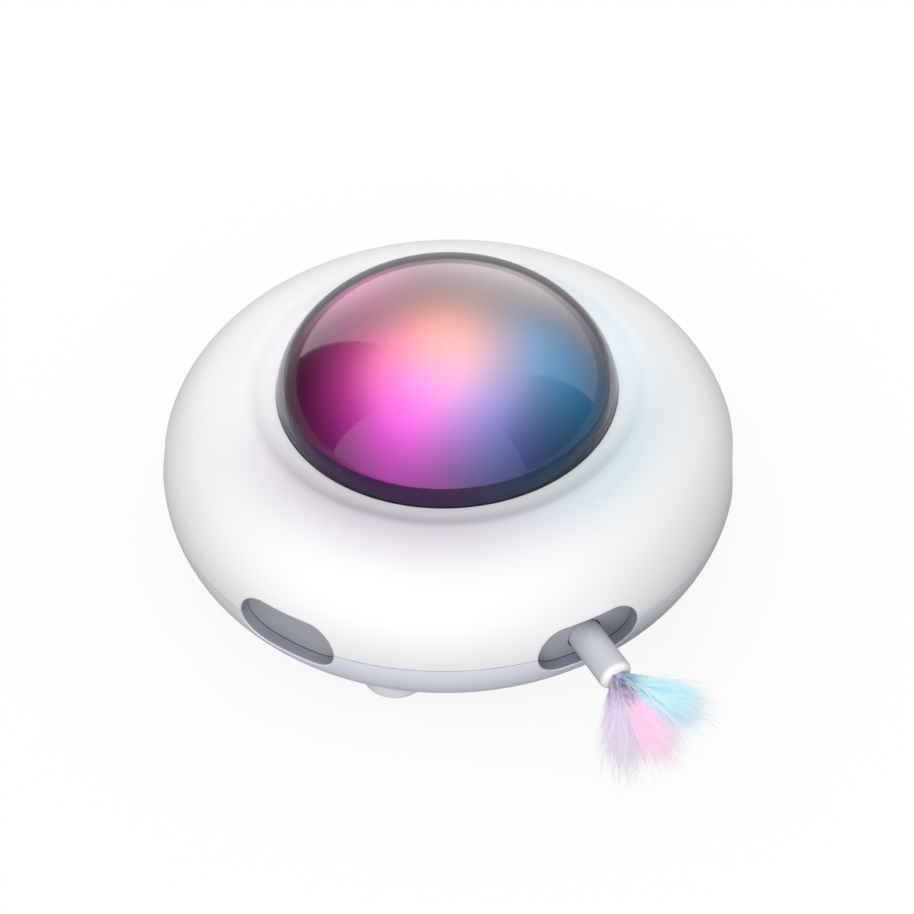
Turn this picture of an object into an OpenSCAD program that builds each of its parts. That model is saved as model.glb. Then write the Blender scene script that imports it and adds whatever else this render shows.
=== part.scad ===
// Automatic cat feather toy: a saucer-shaped body with a smoked, lit dome and
// six slots round its equator. A curtain drum turns inside the body and carries
// a rod that reaches out of one slot with a tuft of three feathers on its tip.
// Millimetres, +Z up. The origin is on the floor under the middle of the body,
// and the rod points along +X.

/* [Body] */
// Diameter of the body at its equator
body_d = 176; // [166:1:190]
// Height of the parting seam, the slots and the rod above the floor
seam_z = 30; // [29:0.5:33]
// Height of the flat underside above the floor
ground_gap = 3.5; // [3:0.25:5]
// Thickness of the two shells
wall = 3; // [2.6:0.1:3.4]
// Height of the straight band above the seam
band_h = 1; // [0.5:0.1:2]
// Rounding radius of the shoulder above the band
shoulder_r = 26; // [24:0.5:28]
// Angle over which the shoulder turns before the crown takes over
shoulder_turn = 50; // [46:1:54]
// Rounding radius of the crown above the shoulder
crown_r = 39; // [37:0.5:42]
// Rounding radius of the crest round the dome's dish
crest_r = 8; // [6:0.5:10]
// Rounding radius of the hollow between the crest and the dome
dish_r = 22; // [16:1:26]
// Width of the shadow line left between the two shells
seam_gap = 0.3; // [0.2:0.05:0.5]
// Height of the lower shell's tongue inside the upper shell
tongue_h = 1.4; // [1:0.1:2]

/* [Slots] */
// Number of slots round the body
slot_count = 6; // [4:1:6]
// Width of each slot
slot_w = 32.5; // [26:0.5:36]
// Height of each slot
slot_h = 17.2; // [15:0.2:18]

/* [Dome] */
// Outer diameter of the smoked dome at its foot
dome_d = 102.6; // [96:0.2:104]
// Rise of the dome above the dish
dome_rise = 33.3; // [28:0.1:38]
// Fullness of the dome's curve, where 2 is an ellipse
dome_fullness = 1.82; // [1.75:0.01:2.1]
// Thickness of the dome
dome_wall = 2.3; // [1.8:0.1:2.8]
// Depth to which the dome's foot sits in the upper shell
dome_seat = 2.2; // [1.5:0.1:3]
// Thickness of the deck under the dome
deck_t = 2.5; // [2:0.1:3]
// Thickness of the frosted diffuser
diffuser_wall = 1.4; // [1:0.1:2]
// Height of the dark bezel above the dish
bezel_h = 4.4; // [3:0.1:6]
// Width of the bezel's ring
bezel_w = 3.2; // [2.4:0.1:4]

/* [Lamp] */
// Outer diameter of the lamp board
led_board_d = 80; // [70:1:84]
// Diameter of the wire hole in the lamp board
led_board_hole_d = 26; // [20:1:30]
// Diameter of the circle of lamps
led_circle_d = 60; // [52:1:66]
// Number of lamps
led_count = 6; // [4:1:8]
// Side of each square lamp
led_side = 5; // [3:0.1:5.5]
// Height of each lamp
led_h = 1.6; // [1:0.1:2]
// Thickness of both circuit boards
board_t = 1.6; // [1:0.1:2]
// Height of the lamp board's spacers
led_spacer_h = 1.5; // [1:0.1:3]
// Diameter of the circle of lamp board screws
led_screw_circle_d = 42; // [40:1:46]

/* [Post] */
// Diameter of the fixed hollow post that the drum turns on
post_d = 24; // [22:0.5:25]
// Bore of the post
post_bore_d = 17; // [15:0.5:18]
// Thickness of the post's closed head
post_head_t = 3; // [2.5:0.1:4]
// Length of the upper shell's boss above the post
boss_h = 6; // [6:0.5:8]
// Height of the post's bearing shoulder above the lower shell's floor
shoulder_h = 5.5; // [4.5:0.1:6]
// Width of the bearing shoulder outside the post
shoulder_w = 4.5; // [4:0.1:5]
// Diameter of the circle of screws in the post's head
shell_screw_circle_d = 10; // [9.6:0.1:10.4]
// Diameter of the wire hole through the post's head
wire_hole_d = 4; // [3:0.1:4.4]
// Thickness of the cap that closes the post from below
cap_t = 1.6; // [1.2:0.1:2.4]
// Height of the cap's gripping skirt
cap_skirt_h = 4; // [3:0.5:6]

/* [Curtain drum] */
// Running gap between the drum's curtain and the shells
curtain_gap = 0.8; // [0.6:0.1:1.2]
// Thickness of the curtain
curtain_wall = 2; // [1.6:0.1:2.4]
// Reach of the curtain above and below the slots
curtain_over = 3; // [2.5:0.1:3.4]
// Depth of the drum's floor below the rod's middle
floor_drop = 7.5; // [7:0.1:8]
// Thickness of the drum's floor
floor_t = 2.5; // [2:0.1:3]
// Thickness of the bearing bush
bush_wall = 2; // [1.5:0.1:2.5]
// Thickness of the drum's hub round the bush
hub_wall = 3; // [2:0.1:3.2]
// Height of the hub above the drum's floor
hub_rise = 0.9; // [0.5:0.1:1.2]
// Thickness of the thrust washer
washer_t = 1; // [0.8:0.1:1.4]
// Thickness of the ring that keeps the hub down
clip_t = 0.8; // [0.6:0.1:1]
// Depth of the ring's groove in the post
clip_groove = 1; // [0.6:0.1:1.2]
// Width of the ring
clip_w = 3.5; // [3:0.1:4]

/* [Gears] */
// Teeth of the drum's gear
gear_teeth = 60; // [56:2:62]
// Teeth of the pinion that turns the drum
pinion_teeth = 12; // [11:1:13]
// Module of the drum's gear pair
gear_module = 1; // [0.96:0.01:1.02]
// Width of the drum's gear
gear_t = 4.2; // [3.6:0.1:4.6]
// Teeth of the pinion that moves the rod
rod_pinion_teeth = 10; // [10:1:11]
// Module of the rod's rack
rack_module = 0.8; // [0.76:0.01:0.82]
// Width of the rod's pinion
rod_pinion_w = 6; // [4:0.5:7]
// Diameter of both pinion shafts
shaft_d = 3; // [2.5:0.1:3.2]
// Thinning of each tooth flank, which leaves the backlash
tooth_slack = 0.1; // [0.08:0.01:0.14]

/* [Rod] */
// Diameter of the rod
rod_d = 10; // [9:0.1:10.4]
// Reach of the rod's tip beyond the body
rod_reach = 15; // [10:0.5:22]
// Length of the tip
tip_l = 5; // [4:0.5:7]
// Rounding of the tip's edge
tip_round = 2.2; // [1.2:0.1:2.6]
// Diameter of the tip's spigot
spigot_d = 6; // [5:0.1:6.4]
// Length of the tip's spigot
spigot_l = 6; // [4:0.5:8]
// Travel of the rod into the body
rod_stroke = 30; // [24:1:30]
// Gap between the rod motor's cradle and the rod's guide
motor_gap = 1.2; // [1:0.1:2]
// Length of the rod behind its pinion
rod_tail = 4; // [3.5:0.5:5]
// Height of the rack's pitch line above the rod's middle
rack_height = 3.2; // [2.8:0.1:3.4]
// Length of the rod's guide
guide_l = 22; // [18:1:23]
// Thickness of the guide round the rod
guide_wall = 3.4; // [2.8:0.1:3.8]
// Width of the guide's feet
guide_foot_w = 6.4; // [6:0.1:7]

/* [Feather] */
// Diameter of the plug that holds the feathers
plug_d = 4.4; // [4:0.1:4.8]
// Depth of the plug in the tip
plug_in = 6; // [4:0.5:8]
// Length of the plug outside the tip
plug_out = 1.2; // [1:0.1:2]
// Length of the blue feather
blue_l = 29; // [22:1:32]
// Length of the pink feather
pink_l = 31; // [22:1:32]
// Length of the lilac feather
lilac_l = 28; // [22:1:32]
// Width of the blue feather
blue_w = 13; // [9:0.5:14]
// Width of the pink and the lilac feather
plume_w = 11; // [8:0.5:11.5]
// Thickness of each feather, as a share of its width
plume_flat = 0.34; // [0.28:0.01:0.38]
// Diameter of each feather's quill at its root
quill_d = 1.2; // [1:0.1:1.3]

/* [Motors] */
// Width of both motors
motor_w = 12; // [11:0.1:12.4]
// Height of both motors
motor_h = 10; // [9:0.1:10]
// Length of each motor's can
can_l = 15; // [12:0.5:17]
// Diameter of the bush on each motor's end
motor_bush_d = 4; // [3:0.1:5]
// Length of the bush on each motor's end
motor_bush_l = 1; // [0.6:0.1:1.6]
// Length of the rod motor's gearbox
rod_gearbox_l = 9; // [8:0.5:11]
// Distance of the rod motor from the rod's middle
rod_motor_y = 6.5; // [6.2:0.1:7]
// Width of the drum motor's gearbox
drive_box_w = 20; // [17:0.5:22]
// Depth of the drum motor's gearbox
drive_box_d = 19; // [17:0.5:20]
// Height of the drum motor's gearbox
drive_box_h = 8; // [7.4:0.1:8.4]
// Width of the gearbox's screw ears
ear_w = 5; // [5:0.1:6]
// Thickness of the gearbox's screw ears
ear_t = 2.4; // [2:0.1:3]
// Depth of the gearbox's screw ears
ear_d = 8; // [6:0.5:10]
// Thickness of the walls of the rod motor's cradle
cradle_wall = 2; // [1.6:0.1:2.4]
// Height of the cradle's cheeks above the motor's underside
cheek_h = 4; // [3:0.1:5]
// Width of the strap over the rod motor
strap_w = 6; // [5:0.1:8]
// Thickness of the strap
strap_t = 1; // [0.8:0.1:1.4]
// Width of the strap's screw ears
strap_ear = 5.2; // [5:0.1:6]
// Length of the strap's screws
strap_screw_l = 6; // [5:0.5:8]

/* [Power] */
// Length of the battery pack
battery_l = 46; // [40:1:47]
// Width of the battery pack
battery_w = 25; // [20:1:26]
// Height of the battery pack
battery_h = 9; // [7:0.5:9]
// Distance of the battery pack's near side from the drum's axis
battery_y = 34; // [33:0.5:35]
// Thickness of the battery tray
tray_t = 1.2; // [1:0.1:1.6]
// Height of the battery tray's rim
tray_rim = 3; // [2:0.5:5]
// Height of the ribs under the battery tray
tray_rib_h = 1; // [0.8:0.1:1.4]
// Width of the charge board
charge_board_w = 24; // [20:1:26]
// Length of the charge board
charge_board_l = 26; // [24:1:30]
// Height of the charge board above the lower shell's floor
charge_board_h = 6; // [5.5:0.1:6.4]
// Side of the controller chip
chip_side = 7; // [5:0.5:8]
// Length of the charger chip
charger_l = 4; // [3:0.5:6]
// Width of the charger chip
charger_w = 5; // [4:0.5:6]
// Height of both chips
chip_h = 1.2; // [0.9:0.1:1.6]
// Width of the charging socket
usb_w = 9; // [8.6:0.1:9.4]
// Height of the charging socket
usb_h = 3.2; // [3:0.1:3.4]
// Length of the charging socket
usb_l = 7.4; // [7:0.1:8]
// Depth of the charging socket behind the body's surface
usb_inset = 2; // [1.5:0.1:2.4]
// Direction of the charging socket, from the rod
usb_angle = 150; // [148:1:152]

/* [Switch] */
// Distance of the power switch from the drum's axis
switch_x = 47; // [45:0.5:50]
// Travel of the switch's knob
switch_travel = 3; // [2:0.5:4]
// Length of the knob
knob_l = 4; // [3:0.5:5]
// Width of the knob
knob_w = 5; // [4:0.5:6]
// Reach of the knob below the underside
knob_out = 1.4; // [0.8:0.1:2]
// Height of the switch's body
switch_h = 4; // [3:0.5:5]
// Length of each tab of the switch's body
switch_tab_l = 4.4; // [4:0.1:5]
// Height of the tabs above the body's underside
switch_tab_h = 1; // [0.8:0.1:1.4]
// Thickness of the tabs
switch_tab_t = 1.2; // [1:0.1:1.6]
// Diameter of the posts under the tabs
switch_post_d = 4; // [3.4:0.1:4.2]

/* [Feet] */
// Number of feet
foot_count = 4; // [3:1:5]
// Diameter of the circle of feet
foot_circle_d = 133; // [124:1:136]
// Direction of the first foot, from the rod
foot_angle = -41.5; // [-44:0.5:-38]
// Diameter of each foot's moulded boss
foot_d = 18.4; // [16:0.2:20]
// Height of the boss above the floor
foot_boss_z = 1.8; // [1.4:0.1:2.2]
// Diameter of each rubber pad
pad_d = 15.6; // [12:0.2:15.6]
// Depth of the pad's recess
pad_recess = 0.8; // [0.5:0.1:1.2]

/* [Screws] */
// Diameter of the self-tapping screws
screw_d = 2; // [1.6:0.1:2.2]
// Diameter of the screws' heads
head_d = 3.8; // [3.4:0.1:4]
// Height of the screws' heads
head_h = 1.4; // [1:0.1:1.6]

/* [Clearances] */
// Gap between a shaft or post and its bearing
bearing_clear = 0.05; // [0.03:0.01:0.1]
// Gap between the rod and its guide
slide_clear = 0.1; // [0.06:0.01:0.15]
// Gap between pieces that are put together by hand
seat_clear = 0.1; // [0.05:0.01:0.15]
// Gap between pieces that pass each other
pass_clear = 0.4; // [0.3:0.05:0.5]

/* [Hidden] */
$fn = 96;

// Main heights and radii
body_r = body_d / 2;
lower_r = seam_z - ground_gap;
floor_z = ground_gap + wall;
tongue_top = seam_z + tongue_h;
post_r = post_d / 2;
dome_r = dome_d / 2;
rod_r = rod_d / 2;
screw_r = screw_d / 2;
screw_hole_r = screw_r + bearing_clear;
head_r = head_d / 2;

// Centres of the body's round stretches, as [radius, height]
lower_c = [body_r - lower_r, seam_z];
shoulder_c = [body_r - shoulder_r, seam_z + band_h];
crown_c = shoulder_c - (crown_r - shoulder_r) * [cos(shoulder_turn), sin(shoulder_turn)];
crest_start = 78;
crest_end = 106;
crest_c = crown_c + (crown_r - crest_r) * [cos(crest_start), sin(crest_start)];
dish_c = crest_c + (crest_r + dish_r) * [cos(crest_end), sin(crest_end)];
dish_z = dish_c[1] - dish_r;

// Dome, lamp and post
well_r = dome_r + seat_clear;
well_wall = 2.6;
deck_top = dish_z - dome_seat;
deck_z = deck_top - deck_t;
post_top = deck_z - boss_h;
shoulder_top = floor_z + shoulder_h;
hub_z = shoulder_top + washer_t;
led_board_z = deck_top + led_spacer_h;
spacer_r = 2.6;
inner_gap = 0.5;
diffuser_r = dome_r - dome_wall - inner_gap;
diffuser_rise = dome_rise - dome_wall - inner_gap;
bezel_r = diffuser_r * pow(1 - pow(bezel_h / diffuser_rise, dome_fullness), 1 / dome_fullness);

// Curtain drum
curtain_inset = wall + curtain_gap;
curtain_z = [seam_z - slot_h / 2 - curtain_over, seam_z + slot_h / 2 + curtain_over];
disc_top = seam_z - floor_drop;
disc_z = disc_top - floor_t;
bush_r = post_r + bearing_clear;
hub_bore_r = bush_r + bush_wall + bearing_clear;
hub_r = hub_bore_r + hub_wall;
hub_top = disc_top + hub_rise;
clip_z = hub_top + seat_clear;

// Gear pair under the drum
pressure_angle = 25;
addendum = 0.68;
dedendum = 0.9;
gear_z = disc_z - gear_t;
gear_pitch_r = gear_teeth * gear_module / 2;
pinion_pitch_r = pinion_teeth * gear_module / 2;
drive_y = gear_pitch_r + pinion_pitch_r + seat_clear;
gear_screw_r = hub_r + head_r + 1.5;

// Rod, rack and guide
rod_end = body_r + rod_reach;
rod_front = rod_end - tip_l;
rod_pinion_pitch_r = rod_pinion_teeth * rack_module / 2;
pinion_z = seam_z + rack_height + rod_pinion_pitch_r + seat_clear;
rack_pitch = PI * rack_module;
rack_first = -floor((rod_tail - rack_pitch / 4) / rack_pitch);
rack_last = ceil(rod_stroke / rack_pitch) + 1;
guide_end = sqrt(pow(inner_r(disc_top), 2) - pow(rod_r + guide_wall + guide_foot_w, 2)) - seat_clear;
guide_start = guide_end - guide_l;
cradle_w = motor_w + 2 * (seat_clear + cradle_wall);
pinion_x = guide_start - motor_gap - cradle_w / 2;
rod_inner = pinion_x - rod_tail;
guide_foot_t = 2.4;
guide_screw_y = rod_r + guide_wall + guide_foot_w / 2;

// Rod motor and gearbox ears
ear_root = 0.5;
motor_z = pinion_z - motor_h / 2;
cradle_l = rod_gearbox_l + can_l;
strap_y = rod_motor_y + rod_gearbox_l + can_l / 2;
strap_top = motor_z + motor_h;
strap_screw_x = motor_w / 2 + cradle_wall + strap_ear / 2;

// Power
tray_z = floor_z + tray_rib_h;
charge_board_z = floor_z + charge_board_h;
usb_z = charge_board_z + board_t + usb_h / 2;
usb_mouth = shell_r(usb_z, 0) - usb_inset;
charge_board_end = sqrt(pow(shell_r(charge_board_z, wall), 2) - pow(charge_board_w / 2, 2)) - pass_clear;
charge_post_r = charge_board_end - charge_board_l + 4;
charge_post_y = charge_board_w / 2 - 4;
foot_circle_r = foot_circle_d / 2;
switch_slot_l = knob_l + switch_travel + 2 * pass_clear;
knob_flange_t = 1.2;
knob_flange_gap = 0.15;
switch_l = switch_slot_l + 7;
switch_w = knob_w + 4;
switch_z = floor_z + knob_flange_t + 2 * knob_flange_gap;

// Radius of the body at height z near its equator, inset from the surface
function shell_r(z, inset) =
    z < seam_z ? lower_c[0] + sqrt(pow(lower_r - inset, 2) - pow(seam_z - z, 2)) :
    z < shoulder_c[1] ? body_r - inset :
    shoulder_c[0] + sqrt(pow(shoulder_r - inset, 2) - pow(z - shoulder_c[1], 2));

// Radius of the curtain's inner face at height z
function inner_r(z) = shell_r(z, curtain_inset + curtain_wall);

// Points of an arc about c, from angle a0 to a1
function arc(c, r, a0, a1, n = 12) =
    [for (i = [0 : n]) let (a = a0 + (a1 - a0) * i / n) c + r * [cos(a), sin(a)]];

// Points of a barrel wall between two heights
function barrel(z0, z1, inset, n = 14) =
    [for (i = [0 : n]) let (z = z0 + (z1 - z0) * i / n) [shell_r(z, inset), z]];

// Quarter of a dome's outline from its foot to its top, above height low
function dome_arc(r, rise, low = 0, n = 28) =
    let (start = asin(pow(low / rise, dome_fullness / 2)))
    [for (i = [0 : n])
        let (a = start + (90 - start) * i / n)
        [r * pow(cos(a), 2 / dome_fullness), rise * pow(sin(a), 2 / dome_fullness)]];

// List in the opposite order
function reverse(list) = [for (i = [len(list) - 1 : -1 : 0]) list[i]];

// Involute gear outline
function involute(r, base) = let (a = acos(min(1, base / r))) tan(a) * 180 / PI - a;
function gear_points(teeth, m, steps = 4) =
    let (pitch = teeth * m / 2,
         base = pitch * cos(pressure_angle),
         tip = pitch + addendum * m,
         root = pitch - dedendum * m,
         low = max(base, root),
         half = 90 / teeth - tooth_slack / pitch * 180 / PI + involute(pitch, base))
    [for (i = [0 : teeth - 1], side = [-1, 1], j = [0 : steps + 1])
        let (k = side < 0 ? j : steps + 1 - j,
             r = k == 0 ? root : low + (tip - low) * (k - 1) / steps,
             a = 360 * i / teeth + side * (half - involute(max(r, low), base)))
        r * [cos(a), sin(a)]];

// Turns its children to each of n places round the middle
module around(n, first = 0) {
    for (i = [0 : n - 1]) rotate(first + 360 * i / n) children();
}

// Self-tapping screw that points up, with its head's seat at the origin
module screw_up(length) {
    translate([0, 0, -head_h]) cylinder(r = head_r, h = head_h);
    cylinder(r = screw_r, h = length);
}

// Self-tapping screw that points down, with its head's seat at the origin
module screw_down(length) {
    mirror([0, 0, 1]) screw_up(length);
}

// Plate with round ends, long way along X
module pill(l, w, h) {
    linear_extrude(h) {
        square([l - w, w], center = true);
        for (side = [-1, 1]) translate([side * (l - w) / 2, 0]) circle(d = w);
    }
}

// Cutter for one slot, along +X
module slot_cutter() {
    depth = 2 * (curtain_gap + wall + 4);
    translate([body_r - depth / 2, 0, seam_z]) rotate([90, 0, 90]) pill(slot_w, slot_h, depth);
}

// Places of the screws in the post's head
module at_shell_screws() {
    around(3, 60) translate([shell_screw_circle_d / 2, 0]) children();
}

// Places of the lamp board's screws
module at_led_screws() {
    around(3) translate([led_screw_circle_d / 2, 0]) children();
}

// Turns and moves its children to the charge board's screws
module at_charge_screws() {
    rotate(usb_angle)
        for (side = [-1, 1]) translate([charge_post_r, side * charge_post_y]) children();
}

// Places of the drum motor's gearbox screws
module at_gearbox_screws() {
    for (side = [-1, 1]) translate([side * (drive_box_w + ear_w) / 2, drive_y]) children();
}

// Places of the switch body's posts
module at_switch_posts() {
    for (side = [-1, 1]) translate([switch_x + side * (switch_l + switch_tab_l) / 2, 0]) children();
}

// Lower shell with its feet's bosses, hollow post, tongue and half of each slot
module base_shell() {
    rim = -asin(seam_gap / lower_r);
    color("#e4e6ec") difference() {
        union() {
            difference() {
                union() {
                    rotate_extrude() polygon(concat(
                        [[0, floor_z], [0, ground_gap]],
                        arc(lower_c, lower_r, -90, rim, 18),
                        [[body_r - wall / 2 - seat_clear, seam_z - seam_gap],
                         [body_r - wall / 2 - seat_clear, tongue_top],
                         [body_r - wall, tongue_top]],
                        arc(lower_c, lower_r - wall, 0, -90, 18)));
                    around(foot_count, foot_angle) translate([foot_circle_r, 0, foot_boss_z])
                        cylinder(d = foot_d, h = floor_z);
                }
                rotate_extrude() polygon(concat(
                    [[0, seam_z], [0, floor_z]],
                    arc(lower_c, lower_r - wall, -90, 0, 18)));
            }
            translate([0, 0, ground_gap]) cylinder(r = post_r, h = post_top - ground_gap);
            translate([0, 0, ground_gap]) cylinder(r = post_r + shoulder_w, h = shoulder_top - ground_gap);
            for (side = [-1, 1])
                translate([side * battery_l / 4 - 1, -battery_y - battery_w, floor_z - wall / 2])
                    cube([2, battery_w, tray_rib_h + wall / 2]);
            at_charge_screws()
                translate([0, 0, floor_z - wall / 2]) cylinder(r = 2.6, h = charge_board_h + wall / 2);
            at_switch_posts()
                translate([0, 0, floor_z - wall / 2]) cylinder(d = switch_post_d, h = switch_z + switch_tab_h - floor_z + wall / 2);
        }
        around(slot_count) slot_cutter();
        around(foot_count, foot_angle) translate([foot_circle_r, 0, foot_boss_z - 1])
            cylinder(d = pad_d + 2 * bearing_clear, h = pad_recess + 1);
        translate([0, 0, ground_gap - 1])
            cylinder(d = post_bore_d, h = post_top - post_head_t - ground_gap + 1);
        translate([0, 0, post_top - 2 * post_head_t]) cylinder(d = wire_hole_d, h = 3 * post_head_t);
        at_shell_screws()
            translate([0, 0, post_top - 2 * post_head_t]) cylinder(r = screw_hole_r, h = 3 * post_head_t);
        translate([0, 0, clip_z - bearing_clear]) difference() {
            cylinder(r = post_r + 1, h = clip_t + 2 * bearing_clear);
            translate([0, 0, -1]) cylinder(r = post_r - clip_groove, h = clip_t + 3);
        }
        at_charge_screws()
            translate([0, 0, floor_z + 1]) cylinder(r = screw_hole_r, h = charge_board_h);
        at_gearbox_screws() translate([0, 0, floor_z - wall + 1]) cylinder(r = screw_hole_r, h = wall);
        rotate(usb_angle) translate([usb_mouth - usb_l - 1, 0, usb_z]) rotate([90, 0, 90])
            pill(usb_w + 2 * seat_clear + 1, usb_h + 2 * seat_clear, 2 * usb_l);
        translate([switch_x, 0, ground_gap - 1])
            translate([-switch_slot_l / 2, -knob_w / 2 - pass_clear, 0])
                cube([switch_slot_l, knob_w + 2 * pass_clear, wall + 2]);
    }
}

// Upper shell: shoulder, crown, crest and dish, the deck under the dome and the boss on the post
module top_shell() {
    color("#fbfbfd") difference() {
        union() {
            rotate_extrude() polygon(concat(
                [[body_r, seam_z]],
                arc(shoulder_c, shoulder_r, 0, shoulder_turn, 14),
                arc(crown_c, crown_r, shoulder_turn, crest_start, 8),
                arc(crest_c, crest_r, crest_start, crest_end, 6),
                arc(dish_c, dish_r, crest_end + 180, 270, 6),
                [[0, dish_z], [0, deck_z], [well_r + well_wall, deck_z]],
                arc(crown_c, crown_r - wall, crest_start, shoulder_turn, 8),
                arc(shoulder_c, shoulder_r - wall, shoulder_turn, 0, 14),
                [[body_r - wall, tongue_top],
                 [body_r - wall / 2, tongue_top],
                 [body_r - wall / 2, seam_z]]));
            translate([0, 0, post_top]) cylinder(r = post_r, h = boss_h + 1);
        }
        translate([0, 0, deck_top]) difference() {
            cylinder(r = well_r, h = dome_rise);
            at_led_screws() translate([0, 0, -1]) cylinder(r = spacer_r, h = led_spacer_h + 1);
        }
        at_led_screws() translate([0, 0, deck_z + 0.5]) cylinder(r = screw_hole_r, h = deck_t + led_spacer_h);
        at_shell_screws() translate([0, 0, post_top - 1]) cylinder(r = screw_hole_r, h = boss_h + 1);
        translate([0, 0, post_top - 1]) cylinder(d = wire_hole_d, h = boss_h + deck_t + 2);
        around(slot_count) slot_cutter();
    }
}

// Screws that hold the two shells together from inside the post
module shell_screws() {
    color("#b9bcc2") at_shell_screws()
        translate([0, 0, post_top - post_head_t]) screw_up(post_head_t + boss_h - 1);
}

// Cap that closes the post's bore under the body
module centre_cap() {
    color("#dfe1e7") translate([0, 0, ground_gap]) {
        cylinder(d = post_bore_d - 2 * bearing_clear, h = cap_t);
        difference() {
            cylinder(d = post_bore_d - 2 * bearing_clear, h = cap_t + cap_skirt_h);
            translate([0, 0, cap_t]) cylinder(d = post_bore_d - 2 * cap_t, h = cap_skirt_h + 1);
        }
    }
}

// Rubber pads under the feet
module rubber_feet() {
    edge = 1;
    top = foot_boss_z + pad_recess;
    color("#c9ccd2") around(foot_count, foot_angle) translate([foot_circle_r, 0])
        rotate_extrude() polygon(concat(
            [[0, top], [0, 0]],
            arc([pad_d / 2 - edge, edge], edge, -90, 0, 5),
            [[pad_d / 2, top]]));
}

// Smoked dome, a thin revolved shell that stands in the upper shell's well
module smoked_dome() {
    color("#3a2440", 0.6) translate([0, 0, dish_z]) rotate_extrude() polygon(concat(
        [[dome_r, -dome_seat]],
        dome_arc(dome_r, dome_rise),
        reverse(dome_arc(dome_r - dome_wall, dome_rise - dome_wall)),
        [[dome_r - dome_wall, -dome_seat]]));
}

// Dark ring under the diffuser's rim
module dome_bezel() {
    color("#241a2c") translate([0, 0, deck_top]) difference() {
        cylinder(r = bezel_r, h = dome_seat + bezel_h);
        translate([0, 0, -1]) cylinder(r = bezel_r - bezel_w, h = dome_seat + bezel_h + 2);
    }
}

// Frosted inner dome that spreads the lamps' colours
module light_diffuser() {
    color("#ffc4d6") translate([0, 0, dish_z]) rotate_extrude() polygon(concat(
        dome_arc(diffuser_r, diffuser_rise, bezel_h),
        reverse(dome_arc(diffuser_r - diffuser_wall, diffuser_rise - diffuser_wall, bezel_h))));
}

// Ring-shaped lamp board on the deck
module led_board() {
    color("#f2f2ee") translate([0, 0, led_board_z]) difference() {
        cylinder(d = led_board_d, h = board_t);
        translate([0, 0, -1]) cylinder(d = led_board_hole_d, h = board_t + 2);
        at_led_screws() translate([0, 0, -1]) cylinder(r = screw_hole_r, h = board_t + 2);
    }
}

// Coloured lamps on the lamp board
module led_lamps() {
    color("#ffe9b0") around(led_count, 30) translate([led_circle_d / 2, 0, led_board_z + board_t])
        translate([-led_side / 2, -led_side / 2, 0]) difference() {
            cube([led_side, led_side, led_h]);
            translate([led_side / 2, led_side / 2, led_h - 0.5]) cylinder(d = led_side * 0.7, h = 1);
        }
}

// Controller and charger chips on the charge board
module control_chips() {
    middle = charge_board_end - charge_board_l / 2;
    apart = 1;
    color("#26262a") rotate(usb_angle) translate([middle, 0, charge_board_z + board_t]) {
        translate([-chip_side / 2, -chip_side - apart / 2, 0]) cube([chip_side, chip_side, chip_h]);
        translate([-charger_l / 2, apart / 2, 0]) cube([charger_l, charger_w, chip_h]);
    }
}

// Screws of the lamp board and the charge board
module board_screws() {
    color("#b9bcc2") {
        at_led_screws() translate([0, 0, led_board_z + board_t]) screw_down(board_t + led_spacer_h + 1);
        at_charge_screws() translate([0, 0, charge_board_z + board_t]) screw_down(board_t + 3.5);
    }
}

// Washer that carries the drum's hub on the post's shoulder
module thrust_washer() {
    color("#efe6c8") translate([0, 0, shoulder_top]) difference() {
        cylinder(r = post_r + shoulder_w, h = washer_t - bearing_clear);
        translate([0, 0, -1]) cylinder(r = post_r + bearing_clear, h = washer_t + 2);
    }
}

// Open ring in the post's groove that keeps the hub down
module hub_clip() {
    gap = 5;
    color("#8f949c") translate([0, 0, clip_z]) difference() {
        cylinder(r = post_r - clip_groove + clip_w, h = clip_t);
        translate([0, 0, -1]) cylinder(r = post_r - clip_groove + bearing_clear, h = clip_t + 2);
        translate([-post_r - clip_w, -gap / 2, -1]) cube([post_r, gap, clip_t + 2]);
    }
}

// Flat rechargeable battery pack with rounded long edges
module battery_pack() {
    r = battery_h / 2;
    color("#3f7fc4") translate([-battery_l / 2, -battery_y - battery_w / 2, tray_z + tray_t])
        rotate([90, 0, 90]) translate([0, r]) pill(battery_w, battery_h, battery_l);
}

// Tray that holds the battery pack on the lower shell's ribs
module battery_tray() {
    l = battery_l + 2 * (seat_clear + tray_t);
    w = battery_w + 2 * (seat_clear + tray_t);
    color("#d9dbe0") translate([-l / 2, -battery_y - battery_w / 2 - w / 2, tray_z]) difference() {
        cube([l, w, tray_t + tray_rim]);
        translate([tray_t, tray_t, tray_t]) cube([l - 2 * tray_t, w - 2 * tray_t, tray_rim + 1]);
        translate([-1, w / 2 - 5, tray_t]) cube([l + 2, 10, tray_rim + 1]);
    }
}

// Charge board behind the charging socket
module charge_board() {
    color("#2f7d4f") difference() {
        rotate(usb_angle) translate([charge_board_end - charge_board_l, -charge_board_w / 2, charge_board_z])
            cube([charge_board_l, charge_board_w, board_t]);
        at_charge_screws() translate([0, 0, charge_board_z - 1]) cylinder(r = screw_hole_r, h = board_t + 2);
    }
}

// Charging socket: a pressed steel sleeve with a tongue
module usb_port() {
    skin = 0.35;
    color("#b4b8bf") rotate(usb_angle) translate([usb_mouth - usb_l, 0, usb_z]) rotate([90, 0, 90]) {
        difference() {
            pill(usb_w, usb_h, usb_l);
            translate([0, 0, 1]) pill(usb_w - 2 * skin, usb_h - 2 * skin, usb_l);
        }
        translate([-usb_w / 2 + 1.4, -0.35, 0.5]) cube([usb_w - 2.8, 0.7, usb_l - 1.5]);
    }
}

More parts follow.
